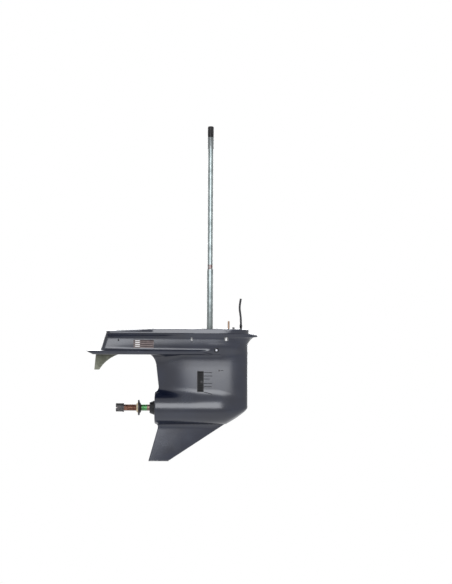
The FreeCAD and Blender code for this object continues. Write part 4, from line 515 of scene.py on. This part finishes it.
PLATE_HALF, PLATE_CORNER, PLATE_TIP_X, PLATE_SHOULDER_X = 95.0, 58.0, -411.0, -150.0
PLATE_FRONT_X, PLATE_FRONT_HALF, PLATE_END_X = 30.0, 42.0, 26.0
PLATE_CORNER_X = PLATE_TIP_X + PLATE_CORNER
PLATE_TIP_HALF = PLATE_HALF - PLATE_CORNER
PLATE_TOP_Z, PLATE_FOOT_Z, PLATE_WEB_Z = -73.0, -86.0, -79.5
PLATE_LEAN, PLATE_LEAN_Z, PLATE_LEAN_DEEP = 0.5, -74.0, 12.0
PLATE_PLAN_EDGE, PLATE_EDGE, PLATE_SIDE_SLOPE, PLATE_TIP_TAPER = 3.0, 5.0, 0.96, 2
WEDGE_X, WEDGE_RUN, WEDGE_Z = -388.0, 23.0, -76.0

TORPEDO_R, TORPEDO_TAIL_X, TORPEDO_EDGE, TORPEDO_FILLET = 54.0, -183.6, 5.0, 20.0
OGIVE_R, OGIVE_REACH = 139.0, 125.0
STRUT_TAIL_X, STRUT_TAIL_LEAN, STRUT_TAIL_HALF, STRUT_TAIL_EDGE = -184.3, 0.114, 5.0, 4.0
STRUT_TOP_Z = -50.0
LEAD_X, LEAD_Z, LEAD_RUN, LEAD_DROP, LEAD_BEND = 111.0, -280.0, 249.0, 164.5, 18.0

SKEG_FOOT_Z, SKEG_TOP_Z = -444.5, AXIS_Z + 5.0
SKEG_TAIL_X, SKEG_TAIL_Z, SKEG_TAIL_RUN, SKEG_TAIL_DROP = -172.5, -332.0, 31.5, 112.5
SKEG_FOOT_HALF, SKEG_ROOT_HALF, SKEG_EDGE_HALF, SKEG_FULLNESS = 3.5, 9.0, 1.4, 0.85
SKEG_LEAD_SLOPE, SKEG_TAIL_SLOPE, SKEG_EDGE = 0.55, 0.96, 3.0
SKEG_FILLET_X, SKEG_FILLET = [10.0, 60.0], [16.0, 1.5]

BODY_FILLET, PLATE_FILLET = 1.0, 12.0
WEB_FILLET_X, WEB_FILLET = [-150.0, -90.0], [46.0, 20.0]


def smin(a, b, k):
    """Smaller of two distances with a fillet about k wide."""
    h = np.maximum(k - np.abs(a - b), 0.0) / k
    return np.minimum(a, b) - h * h * k / 4


def smax(a, b, k):
    """Larger of two distances with a rounded edge about k wide."""
    return -smin(-a, -b, k)


def rise(value, start, run):
    """Share from 0 at start to 1 a run further on."""
    return np.clip((value - start) / run, 0, 1)


def foil(x, nose, tail, half, tail_half):
    """Half width of a foil at x, negative beyond its nose."""
    t = np.clip((x - WIDEST_X) / (nose - WIDEST_X), 0, None)
    s = np.clip((WIDEST_X - x) / (WIDEST_X - tail), 0, None)
    front = half * np.sqrt(np.clip(1 - t ** NOSE_POWER, 0, None))
    front = np.where(t > 1, -(x - nose), front)
    back = tail_half + (half - tail_half) * (1 - s * s)
    return np.where(x > WIDEST_X, front, back)


def deck_top(x):
    """Height of the deck: flat in the middle, falling aft of the step and at the nose."""
    tail = (x - DECK_STEP_X) * DECK_TAIL_DROP / DECK_TAIL_RUN - DECK_STEP_DROP
    step = (x - DECK_STEP_END_X) * DECK_STEP_SLOPE
    aft = np.clip(np.where(x < DECK_STEP_X, tail, step), DECK_LOWEST, 0.0)
    return aft - DECK_NOSE_DROP * rise(x, DECK_NOSE_X, DECK_NOSE_RUN)


def upper_part(x, y, z):
    """Distance to the upper body, the rim above it and the splash rib."""
    half = np.interp(z, HEIGHTS, HALVES)
    nose = STRUT_NOSE_X + BODY_SWEEP * rise(z, BODY_SWEEP_Z, BODY_SWEEP_RISE) ** 2
    tail = BODY_TAIL_X + BODY_TAIL_LEAN * np.clip(z - BODY_TAIL_Z, -BODY_TAIL_DEEP, 0.0)
    body = smax(y - foil(x, nose, tail - BODY_FOIL_BEYOND, half, BODY_TAIL_HALF),
                tail - x, BODY_CORNER)
    lean = RIM_LEAN * rise(-x, -RIM_LEAN_X, RIM_LEAN_RUN)
    lean = np.where(x < DECK_STEP_X, RIM_TAIL_LEAN, lean) * np.clip(z + RIM_DEEP, 0, RIM_DEEP)
    rim = smax(y - foil(x, RIM_NOSE_X, RIM_FOIL_TAIL_X, half + RIM_PROUD - lean, RIM_TAIL_HALF),
               RIM_TAIL_X - x, BODY_CORNER)
    body = np.where(z > RIM_FOOT_Z, rim, body)
    top = RIB_TOP_Z - RIB_TOP_DROP * rise(x, RIB_TOP_X, RIB_TOP_RUN)
    foot = RIB_FOOT_Z + RIB_FOOT_RISE * rise(x, RIB_FOOT_X, RIB_FOOT_RUN)
    proud = RIB_PROUD * rise(z, RIB_LEAN_Z, RIB_LEAN_RISE)
    rib = y - foil(x, RIB_NOSE_X, RIB_FOIL_TAIL_X, half + proud, RIB_TAIL_HALF + proud)
    rib = smax(rib, RIB_TAIL_X - x, RIB_CORNER)
    rib = smax(smax(rib, z - top, RIB_TOP_EDGE), foot - z, RIB_FOOT_EDGE)
    return smin(body, rib, RIB_FILLET)


def plate_part(x, y, z, foot):
    """Distance to the anti-ventilation plate, down to a foot."""
    straight = np.interp(x, [PLATE_SHOULDER_X, PLATE_FRONT_X], [PLATE_HALF, PLATE_FRONT_HALF])
    across = np.clip(PLATE_CORNER_X - x, 0, PLATE_CORNER)
    rounded = PLATE_TIP_HALF + np.sqrt(np.clip(PLATE_CORNER ** 2 - across ** 2, 0, None))
    half = np.where(x < PLATE_SHOULDER_X,
                    np.where(x < PLATE_CORNER_X, rounded, PLATE_HALF), straight)
    beyond = PLATE_TIP_HALF - PLATE_TIP_TAPER * (PLATE_TIP_X - x)
    half = np.where(x < PLATE_TIP_X, beyond, half)
    half = half - PLATE_LEAN * np.clip(PLATE_LEAN_Z - z, 0, PLATE_LEAN_DEEP)
    side = (y - half) * np.where(x > PLATE_SHOULDER_X, PLATE_SIDE_SLOPE, 1.0)
    plan = smax(smax(side, PLATE_TIP_X - x, PLATE_PLAN_EDGE), x - PLATE_END_X, PLATE_PLAN_EDGE)
    foot = foot + (WEDGE_Z - foot) * rise(-x, -WEDGE_X, WEDGE_RUN)
    middle, deep = (PLATE_TOP_Z + foot) / 2, (PLATE_TOP_Z - foot) / 2
    return smax(plan, np.abs(z - middle) - deep, PLATE_EDGE)


def lower_part(x, y, z):
    """Distance to the strut, torpedo and skeg."""
    sunk = np.clip(AXIS_Z - z, 0, None) / TORPEDO_R
    shrink = np.sqrt(np.clip(1 - sunk * sunk, 0, 1))
    lead = smin(np.full_like(z, STRUT_NOSE_X), LEAD_X + (z - LEAD_Z) * LEAD_RUN / LEAD_DROP,
                LEAD_BEND)
    half = np.interp(z, HEIGHTS, HALVES) * shrink
    tail = STRUT_TAIL_X - STRUT_TAIL_LEAN * (z - PLATE_TOP_Z)
    strut = smax(y - foil(x, lead, tail, half, STRUT_TAIL_HALF * shrink), tail - x,
                 STRUT_TAIL_EDGE)
    strut = np.where(sunk > 1, FAR_OUT, strut)
    ahead = np.clip(x - WIDEST_X, 0, OGIVE_REACH)
    ogive = TORPEDO_R - OGIVE_R + np.sqrt(np.clip(OGIVE_R ** 2 - ahead ** 2, 0, None))
    torpedo = smax(np.hypot(y, z - AXIS_Z) - ogive, TORPEDO_TAIL_X - x, TORPEDO_EDGE)
    tail = SKEG_TAIL_X + (z - SKEG_TAIL_Z) * SKEG_TAIL_RUN / SKEG_TAIL_DROP
    u = np.clip((x - tail) / np.maximum(lead - tail, 1.0), 0, 1)
    thick = np.interp(z, [SKEG_FOOT_Z, AXIS_Z], [SKEG_FOOT_HALF, SKEG_ROOT_HALF])
    crown = (thick - SKEG_EDGE_HALF) * (1 - (2 * u - 1) ** 2) ** SKEG_FULLNESS
    skeg = smax(y - (SKEG_EDGE_HALF + crown), (x - lead) * SKEG_LEAD_SLOPE, SKEG_EDGE)
    skeg = smax(skeg, (tail - x) * SKEG_TAIL_SLOPE, SKEG_EDGE)
    skeg = np.where(z > SKEG_TOP_Z, FAR_OUT, skeg)
    return smin(smin(strut, torpedo, TORPEDO_FILLET), skeg,
                np.interp(x, SKEG_FILLET_X, SKEG_FILLET))


def above(x, y, z):
    """Distance to the casting down to the plate's foot."""
    strut = np.where(z < STRUT_TOP_Z, lower_part(x, y, z), FAR_OUT)
    return smin(smin(upper_part(x, y, z), strut, BODY_FILLET),
                plate_part(x, y, z, PLATE_FOOT_Z), PLATE_FILLET)


def below(x, y, z):
    """Distance to the casting from the plate's web down."""
    return smin(lower_part(x, y, z), plate_part(x, y, z, PLATE_WEB_Z),
                np.interp(x, WEB_FILLET_X, WEB_FILLET))


# ---- Gearcase casting as a shell, from rows of half outlines

COLUMNS = 150
SPREAD = (1 - np.cos(np.linspace(0, pi, COLUMNS - 1))) / 2
HALVINGS = 18
CORE_X, CORE_FOOT_Z, CORE_LEAN = -41.0, -300.0, 0.9
REACH_AFT, REACH_FORWARD, REACH_STEPS = -440.0, 175.0, 600
REACH_ACROSS, ACROSS_STEPS = 104.0, 104
END_GAP = 0.02

DECK_CHAMFER, DECK_ROUNDING = 1.2, 0.35
DECK_FOOT_Z = -15.0
DECK_ROWS = (0.0, 0.2, 0.45, 0.7, 0.88, 1.0)
UPPER_ROWS = (
    -15.5, -15.9, -16.2, -16.6, -17.3, -18.5, -20.0, -22.0, -24.0, -25.5, -26.6, -27.4, -28.0,
    -28.8, -30.0, -33.0, -37.0, -41.0, -45.0, -49.0, -53.0, -57.0, -60.0, -62.5, -64.5, -66.0,
    -67.5, -69.0, -70.2, -71.2, -72.0, -72.6, -72.98, -73.05, -73.3, -73.8, -74.8, -77.0,
    -80.0, -83.0, -84.4, -85.3, -85.8, -85.97)
WEB_END_X, WEB_END_RUN = -14.0, 34.0
FLANGE_ROWS = ((4.0, 0.0), (5.6, 1.0), (7.2, 5.8), (9.0, 6.4))
WEB_ROWS = (0.1, 0.5, 1.2, 2.2, 3.6, 5.2, 7.2, 9.6, 12.4, 16.0, 20.4)
WEB_ROW_Z, WEB_LEAD_Z, WEB_LEAD_STEP = -79.55, -86.02, 0.684
LOWER_RUNS = ((-105.0, -186.0, -5.0), (-188.0, -204.0, -2.0), (-204.0, -224.0, -0.8),
              (-224.0, -306.0, -3.0), (-306.0, -332.0, -0.9), (-334.0, -443.0, -5.0))
LAST_ROW_Z, FOOT_STEP = -443.2, 1.0
FOOT_WIDTH, FOOT_END_WIDTH = 0.62, 0.6
SHELL_MIRROR_MERGE, SHELL_MERGE = 2e-6, 4e-6


def first_crossing(field, start, stop, steps):
    """Where a field first turns positive on the way from start to stop, per column."""
    tries = start + (stop - start) * np.linspace(0.0, 1.0, steps + 1)[:, None]
    out = field(tries) > 0
    out[-1] = True
    step = np.maximum(out.argmax(axis=0), 1)
    column = np.arange(tries.shape[1])
    inside, outside = tries[step - 1, column], tries[step, column]
    for _ in range(HALVINGS):
        middle = (inside + outside) / 2
        far = field(middle) > 0
        outside = np.where(far, middle, outside)
        inside = np.where(far, inside, middle)
    return (inside + outside) / 2


def ring(field, height):
    """Half outline of the casting where its height follows a function of x: rows x, y, z."""
    core = np.array([CORE_X])
    core = core - CORE_LEAN * np.maximum(CORE_FOOT_Z - height(core), 0.0)
    back, front = (
        first_crossing(lambda q: field(q, 0 * q, height(q)), core, np.array([way]), REACH_STEPS)[0]
        for way in (REACH_AFT, REACH_FORWARD))
    x = back + END_GAP + (front - back - 2 * END_GAP) * SPREAD
    z = height(x)
    y = first_crossing(lambda q: field(x, q, z), 0 * x, 0 * x + REACH_ACROSS, ACROSS_STEPS)
    x = np.concatenate([[back], x, [front]])
    return np.stack([x, np.concatenate([[0.0], y, [0.0]]), height(x)])


def shrunk(outline, inset, height):
    """The same outline moved inwards by an inset that depends on x."""
    x, y, _ = outline
    dx, dy = np.gradient(x), np.gradient(y)
    length = np.maximum(np.hypot(dx, dy), 1e-6)
    far = inset(x)
    nx, ny = dy / length, -dx / length
    moved_y = np.maximum(y + ny * far, 0.0)
    moved_y[0] = moved_y[-1] = 0.0
    return np.stack([x + nx * far, moved_y, height(x)])


def even(value):
    """A height or inset that is the same at every x."""
    return lambda x: np.full_like(x, value)


def under_deck(share):
    """Heights of a row between the deck's edge and the first level row."""
    return lambda x: (deck_top(x) - DECK_CHAMFER
                      + (DECK_FOOT_Z + DECK_CHAMFER - deck_top(x)) * share)


def web(x):
    """1 where the plate's underside is hollow, smoothly 0 at its front end."""
    t = rise(x, WEB_END_X, WEB_END_RUN)
    return 1 - t ** 2 * (3 - 2 * t)


def flat(outline):
    """The outline drawn in to the middle plane, to close an end."""
    return outline * np.array([[1.0], [0.0], [1.0]])


def casting_rows():
    """Half outlines of the casting from the deck down to the skeg's foot."""
    rim = ring(above, under_deck(0.0))
    rows = [flat(shrunk(rim, even(0.0), deck_top)),
            shrunk(rim, even(DECK_CHAMFER), deck_top),
            shrunk(rim, even(DECK_ROUNDING), lambda x: deck_top(x) - DECK_ROUNDING)]
    rows += [ring(above, under_deck(share)) for share in DECK_ROWS]
    rows += [ring(above, even(z)) for z in UPPER_ROWS]
    edge = rows[-1]
    for inset, up in FLANGE_ROWS:
        rows.append(shrunk(edge, lambda x: inset * web(x),
                           lambda x: PLATE_FOOT_Z + up * web(x)))
    for deep in WEB_ROWS:
        rows.append(ring(below, lambda x: web(x) * (WEB_ROW_Z - deep)
                         + (1 - web(x)) * (WEB_LEAD_Z - deep * WEB_LEAD_STEP)))
    rows += [ring(below, even(z)) for run in LOWER_RUNS for z in np.arange(*run)]
    rows.append(ring(below, even(LAST_ROW_Z)))
    foot = rows[-1].copy()
    foot[1] *= FOOT_WIDTH
    foot[2] -= FOOT_STEP
    last = foot.copy()
    last[1] *= FOOT_END_WIDTH
    last[2] = SKEG_FOOT_Z
    return rows + [foot, last, flat(last)]


def casting_shell():
    """Closed outside of the casting, from a grid whose points take their rows' places."""
    rows = np.array([row.T for row in casting_rows()])
    down, across = rows.shape[0] - 1, rows.shape[1] - 1
    bm = bmesh.new()
    bmesh.ops.create_grid(bm, x_segments=across, y_segments=down, size=1.0)
    for vert in bm.verts:
        i = round((vert.co.x + 1) / 2 * across)
        j = round((vert.co.y + 1) / 2 * down)
        x, y, z = rows[j, i]
        vert.co = (x * MM, -y * MM, z * MM)
    bmesh.ops.mirror(bm, geom=bm.verts[:] + bm.edges[:] + bm.faces[:], axis="Y",
                     merge_dist=SHELL_MIRROR_MERGE)
    bmesh.ops.remove_doubles(bm, verts=bm.verts, dist=SHELL_MERGE)
    bmesh.ops.recalc_face_normals(bm, faces=bm.faces)
    return bm


# ---- Cutters for the casting's wells, bores and windows, in millimetres

# Faces numbered SHADOW_FACE get the near-black painted shade of the inner walls.
CAST_FACE, SHADOW_FACE = 1, 2
CUTTER_MERGE = 2e-6
ALONG_AXIS = 0.9  # cosine past which an edge runs along an axis
CASTING_SHARP_EDGE = 30.0

PUMP_WELL = [
    (-265.0, 0.0), (-265.0, 26.0), (-214.8, 26.0), (-214.8, 17.0), (-188.0, 17.0),
    (-188.0, 13.0), (-100.0, 13.0), (-100.0, 24.0), (-66.0, 24.0), (-66.0, 50.0),
    (-0.6, 50.0), (2.0, 52.6), (2.0, 0.0)]
PROPELLER_SHAFT_BORE = [
    (-186.0, 0.0), (-186.0, 47.6), (-183.0, 47.0), (28.0, 47.0), (28.0, 37.5), (45.9, 37.5),
    (45.9, 13.15), (84.0, 13.15), (84.0, 0.0)]
SHIFT_BORE = [
    (-265.0, 0.0), (-265.0, 13.15), (-240.0, 13.15), (-240.0, 4.55), (-26.0, 4.55),
    (-26.0, 8.0), (-20.0, 8.0), (-20.0, 11.0), (2.0, 11.0), (2.0, 0.0)]
BODY_BOLTS = ((55, 50), (55, -50), (-60, 50), (-60, -50))
TAIL_BOLTS = ((-175, 44), (-175, -44))
HOSE_AT, SHIFT_AT, RETAINER_SCREW_AT = (104, 0, 0), (63, 0, 0), (80, 0, 0)
TAB_BOLT_AT, WATER_PASSAGE_AT = (-335, 0, 0), (-32, 0, 0)
PLUG_AT, DRAIN_AT, SIDE_SCREW_AT = (PLUG_X, 0, PLUG_Z), (14, 0, AXIS_Z), (-304, 0, -39)
EXHAUST_CHAMBER = ((-312, -34, -65), (-186, 34, 5))
RETAINER_SEAT = ((60, -6, -1.5), (79, 6, 3))
EXHAUST_TRUNK = [(-76, -24), (-76, 24), (-150, 9), (-150, -9)]
LOUVRE_WINDOW = ((-254, -64), (-186, -37.5), 33, 70, 2)
INTAKE_WINDOW = ((-41.5, -211), (-19.2, -141), 14, 60, 1.5)
GROOVES = ((-145.5, 9.0), (-157.5, 9.5), (-167.5, 0.0), (-182.0, 9.5), (-193.0, 7.0))
GROOVE_BACK_X, GROOVE_HALF = -18.9, 0.9
GROOVE_INNER, GROOVE_OUTER = 35.6, 50
SHORT_GROOVE = ((37, -139.9), (46, -138.1))
SLANTED_GROOVE = ((-14.5, -1.0), (14.5, 1.0))
SLANTED_GROOVE_INNER, SLANTED_GROOVE_LEAN = 35.2, 14
SLANTED_GROOVE_AT = (-4.4, 0, -214.5)


def lined(cutter, face):
    """The cutter, with the material that its cut faces get."""
    for side in cutter.faces:
        side.material_index = face
    return cutter


def spun(profile, axis, at=(0, 0, 0), steps=64):
    """Closed cutter turned from (along, radius) points about X, Y or Z."""
    bm = bmesh.new()
    turn = {"X": Vector((1, 0, 0)), "Y": Vector((0, 1, 0)), "Z": Vector((0, 0, 1))}[axis]
    side = Vector((0, 0, 1)) if axis != "Z" else Vector((1, 0, 0))
    verts = [bm.verts.new((turn * a + side * r) * MM) for a, r in profile]
    edges = [bm.edges.new(pair) for pair in zip(verts, verts[1:])]
    bmesh.ops.spin(bm, geom=verts + edges, cent=(0, 0, 0), axis=turn, angle=2 * pi, steps=steps,
                   use_merge=True, use_duplicate=False)
    bmesh.ops.remove_doubles(bm, verts=bm.verts, dist=CUTTER_MERGE)
    bmesh.ops.recalc_face_normals(bm, faces=bm.faces)
    bmesh.ops.translate(bm, verts=bm.verts, vec=Vector(at) * MM)
    return lined(bm, CAST_FACE)


def bore(low, high, radius, axis, at, steps=32):
    """Round cutter of one radius."""
    return spun([(low, 0), (low, radius), (high, radius), (high, 0)], axis, at, steps)


def block(low, high, bevel=0.0, round_axis=None):
    """Box between two corners, with its edges along one axis rounded."""
    bm = bmesh.new()
    bmesh.ops.create_cube(bm, size=1.0)
    low, high = Vector(low) * MM, Vector(high) * MM
    bmesh.ops.scale(bm, verts=bm.verts, vec=high - low)
    bmesh.ops.translate(bm, verts=bm.verts, vec=(low + high) / 2)
    if bevel:
        along = "XYZ".index(round_axis)
        edges = [e for e in bm.edges
                 if abs((e.verts[0].co - e.verts[1].co).normalized()[along]) > ALONG_AXIS]
        bmesh.ops.bevel(bm, geom=edges, offset=bevel * MM, segments=6, profile=0.5,
                        affect="EDGES", clamp_overlap=True, material=-1)
    return lined(bm, CAST_FACE)


def windows(low, high, near, far, bevel=0.0):
    """Starboard and port boxes between two (x, z) corners, from near to far."""
    pair = []
    for side in (-1, 1):
        inner, outer = sorted((side * near, side * far))
        window = block((low[0], inner, low[1]), (high[0], outer, high[1]), bevel, "Y")
        pair.append(lined(window, SHADOW_FACE))
    return pair


def prism(corners, low, high):
    """Upright prism over (x, y) corners."""
    bm = bmesh.new()
    verts = [bm.verts.new((x * MM, y * MM, low * MM)) for x, y in corners]
    face = bm.faces.new(verts)
    grown = bmesh.ops.extrude_face_region(bm, geom=[face])["geom"]
    bmesh.ops.translate(bm, verts=[g for g in grown if isinstance(g, bmesh.types.BMVert)],
                        vec=(0, 0, (high - low) * MM))
    bmesh.ops.recalc_face_normals(bm, faces=bm.faces)
    return lined(bm, CAST_FACE)


def tilted(bm, degrees, axis, at):
    """The shape turned about an axis through the origin, then moved to a point."""
    bmesh.ops.rotate(bm, verts=bm.verts, cent=(0, 0, 0),
                     matrix=Matrix.Rotation(radians(degrees), 3, axis))
    bmesh.ops.translate(bm, verts=bm.verts, vec=Vector(at) * MM)
    return bm


def cutters():
    """Sets of cutters whose members don't touch each other."""
    first = [spun(PUMP_WELL, "Z"),
             block(*EXHAUST_CHAMBER, 8, "Z"),
             block(*RETAINER_SEAT),
             bore(-12, 2, 3.5, "Z", HOSE_AT),
             bore(-66, 2, 7.05, "Z", TAB_BOLT_AT),
             bore(-90, -64, 4, "Z", TAB_BOLT_AT),
             lined(bore(-100, -45.5, 8, "Y", PLUG_AT, 40), SHADOW_FACE),
             bore(51.5, 100, 8, "Y", DRAIN_AT, 40)]
    first += [bore(-29, 2, 4.5, "Z", (x, y, 0)) for x, y in BODY_BOLTS + TAIL_BOLTS]
    second = [spun(PROPELLER_SHAFT_BORE, "X", (0, 0, AXIS_Z), 96)]
    second += windows(*LOUVRE_WINDOW)
    second += windows(*INTAKE_WINDOW)
    second += [bore(-40, -27.6, 7.5, "Z", (x, y, 0), 40) for x, y in BODY_BOLTS]
    for z, front in GROOVES:
        second += windows((GROOVE_BACK_X, z - GROOVE_HALF), (front, z + GROOVE_HALF),
                          GROOVE_INNER, GROOVE_OUTER)
    second += windows(*SHORT_GROOVE, GROOVE_INNER, GROOVE_OUTER)
    second += [tilted(groove, SLANTED_GROOVE_LEAN, "Y", SLANTED_GROOVE_AT)
               for groove in windows(*SLANTED_GROOVE, SLANTED_GROOVE_INNER, GROOVE_OUTER)]
    second.append(lined(bore(-62, -40, 2.8, "Y", SIDE_SCREW_AT, 24), SHADOW_FACE))
    third = [spun(SHIFT_BORE, "Z", SHIFT_AT, 40),
             bore(-142, -60, 6, "Z", WATER_PASSAGE_AT),
             prism(EXHAUST_TRUNK, -240.0, 5.0),
             bore(-12, 4, 2.5, "Z", RETAINER_SCREW_AT, 24)]
    return [first, second, third]


def with_casting_looks(mesh):
    """The mesh, with the casting's materials in the order of its faces' numbers."""
    for material in (PAINT, CASTING, SHADOW):
        mesh.materials.append(material)
    return mesh


def gearcase_casting():
    """The shell with its bores, windows and grooves cut, in place of the CAD housing."""
    work = placed("gearcase_shell", with_casting_looks(mesh_of(casting_shell(), "gearcase_shell")))
    tools = []
    for parts in cutters():
        tool = placed("cutters", with_casting_looks(joined(parts, "cutters")))
        cut = work.modifiers.new("cut", "BOOLEAN")
        cut.operation = "DIFFERENCE"
        cut.solver = "EXACT"
        cut.object = tool
        tools.append(tool)
    bpy.context.view_layer.update()
    depsgraph = bpy.context.evaluated_depsgraph_get()
    mesh = bpy.data.meshes.new_from_object(work.evaluated_get(depsgraph))
    for thing in [work, *tools]:
        bpy.data.objects.remove(thing)
    keep("gearcase_casting", shaded(mesh, CASTING_SHARP_EDGE), "gearcase",
         replaced=["gearcase_housing"])


gearcase_casting()

# ---- Shafts, hardware and grilles

DRESSED = (
    "driveshaft", "propeller_shaft", "shift_shaft", "hose_fitting", "shaft_slinger",
    "propeller_thrust_washer", "propeller_washer", "propeller_nut", "cotter_pin",
    "oil_level_plug", "oil_drain_plug", "plug_gaskets", "side_passage_screw", "trim_tab",
    "trim_tab_bolt", "pump_housing", "pump_housing_bolts", "water_tube_grommet",
    "shift_shaft_retainer", "shift_retainer_screw", "propeller_shaft_carrier",
    "carrier_retainer_nut", "propeller_shaft_seals", "intake_screen_starboard",
    "intake_screen_port", "intake_screen_screws", "louvre_grille_starboard",
    "louvre_grille_port")
SLAT_HEIGHTS = (-41.0, -47.6, -54.2, -60.8)
SLAT = ((-233, -3.4, -0.8), (-187.5, 3.4, 0.8))
SLAT_LEAN = 62
SLAT_Y = 36.5

for node in DRESSED:
    dressed(node)

for side, name in ((-1, "louvre_slats_starboard"), (1, "louvre_slats_port")):
    slats = [tilted(block(*SLAT), -SLAT_LEAN * side, "X", (0, side * SLAT_Y, z))
             for z in SLAT_HEIGHTS]
    keep(name, shaded(joined(slats, name)), "gearcase",
         [FINISH["grille_plastic"]])


# ---- Stage and light

FLOOR_RADIUS = 4.0
FLOOR_Z = -1.35
FLOOR_PALE = 0.86
FLOOR_GLOW = 0.6
SOFTBOX_AWAY = 2.3
SOFTBOX_Z = 0.48
SOFTBOX_WIDE, SOFTBOX_HIGH = 2.0, 1.5
SOFTBOX_RADIANCE = 5.5
SOFTBOX_COLOUR = (0.94, 0.96, 1.0)
WORLD_LIGHT = 0.30
WORLD_WHITE = 1.0

floor_shader = Shader("studio_floor")
floor_glow = floor_shader.blend(floor_shader.background_rays(), (0.0, 0.0, 0.0), (1.0, 1.0, 1.0))
floor_paint = floor_shader.set(Base_Color=(FLOOR_PALE, FLOOR_PALE, FLOOR_PALE), Roughness=0.85,
                               Emission_Color=floor_glow, Emission_Strength=FLOOR_GLOW)
disc = bmesh.new()
bmesh.ops.create_circle(disc, cap_ends=True, segments=96, radius=FLOOR_RADIUS)
bmesh.ops.translate(disc, verts=disc.verts, vec=(0, 0, FLOOR_Z))
floor = placed("studio_floor", mesh_of(disc, "studio_floor"))
floor.data.materials.append(floor_paint)

for side, name in ((-1, "front_softbox"), (1, "back_softbox")):
    lamp = bpy.data.lights.new(name, "AREA")
    lamp.shape = "RECTANGLE"
    lamp.size, lamp.size_y = SOFTBOX_WIDE, SOFTBOX_HIGH
    lamp.energy = SOFTBOX_RADIANCE * pi * SOFTBOX_WIDE * SOFTBOX_HIGH
    lamp.color = SOFTBOX_COLOUR
    softbox = placed(name, lamp)
    softbox.location = (0.0, side * SOFTBOX_AWAY, SOFTBOX_Z)
    toward = Vector((0.0, -side * SOFTBOX_AWAY, 0.0))
    softbox.rotation_euler = toward.to_track_quat("-Z", "Y").to_euler()

world = bpy.data.worlds.new("studio_white")
bpy.context.scene.world = world
world.use_nodes = True
world.node_tree.nodes.clear()
sky = Tree(world.node_tree)
dim, white = (sky.node("ShaderNodeBackground", None, {"Color": (1, 1, 1, 1), "Strength": strength})
              for strength in (WORLD_LIGHT, WORLD_WHITE))
mixed = sky.node("ShaderNodeMixShader", None, {0: sky.background_rays(), 1: dim, 2: white})
sky.node("ShaderNodeOutputWorld", None, {"Surface": mixed}, ())
bpy.context.scene.view_settings.view_transform = "Standard"
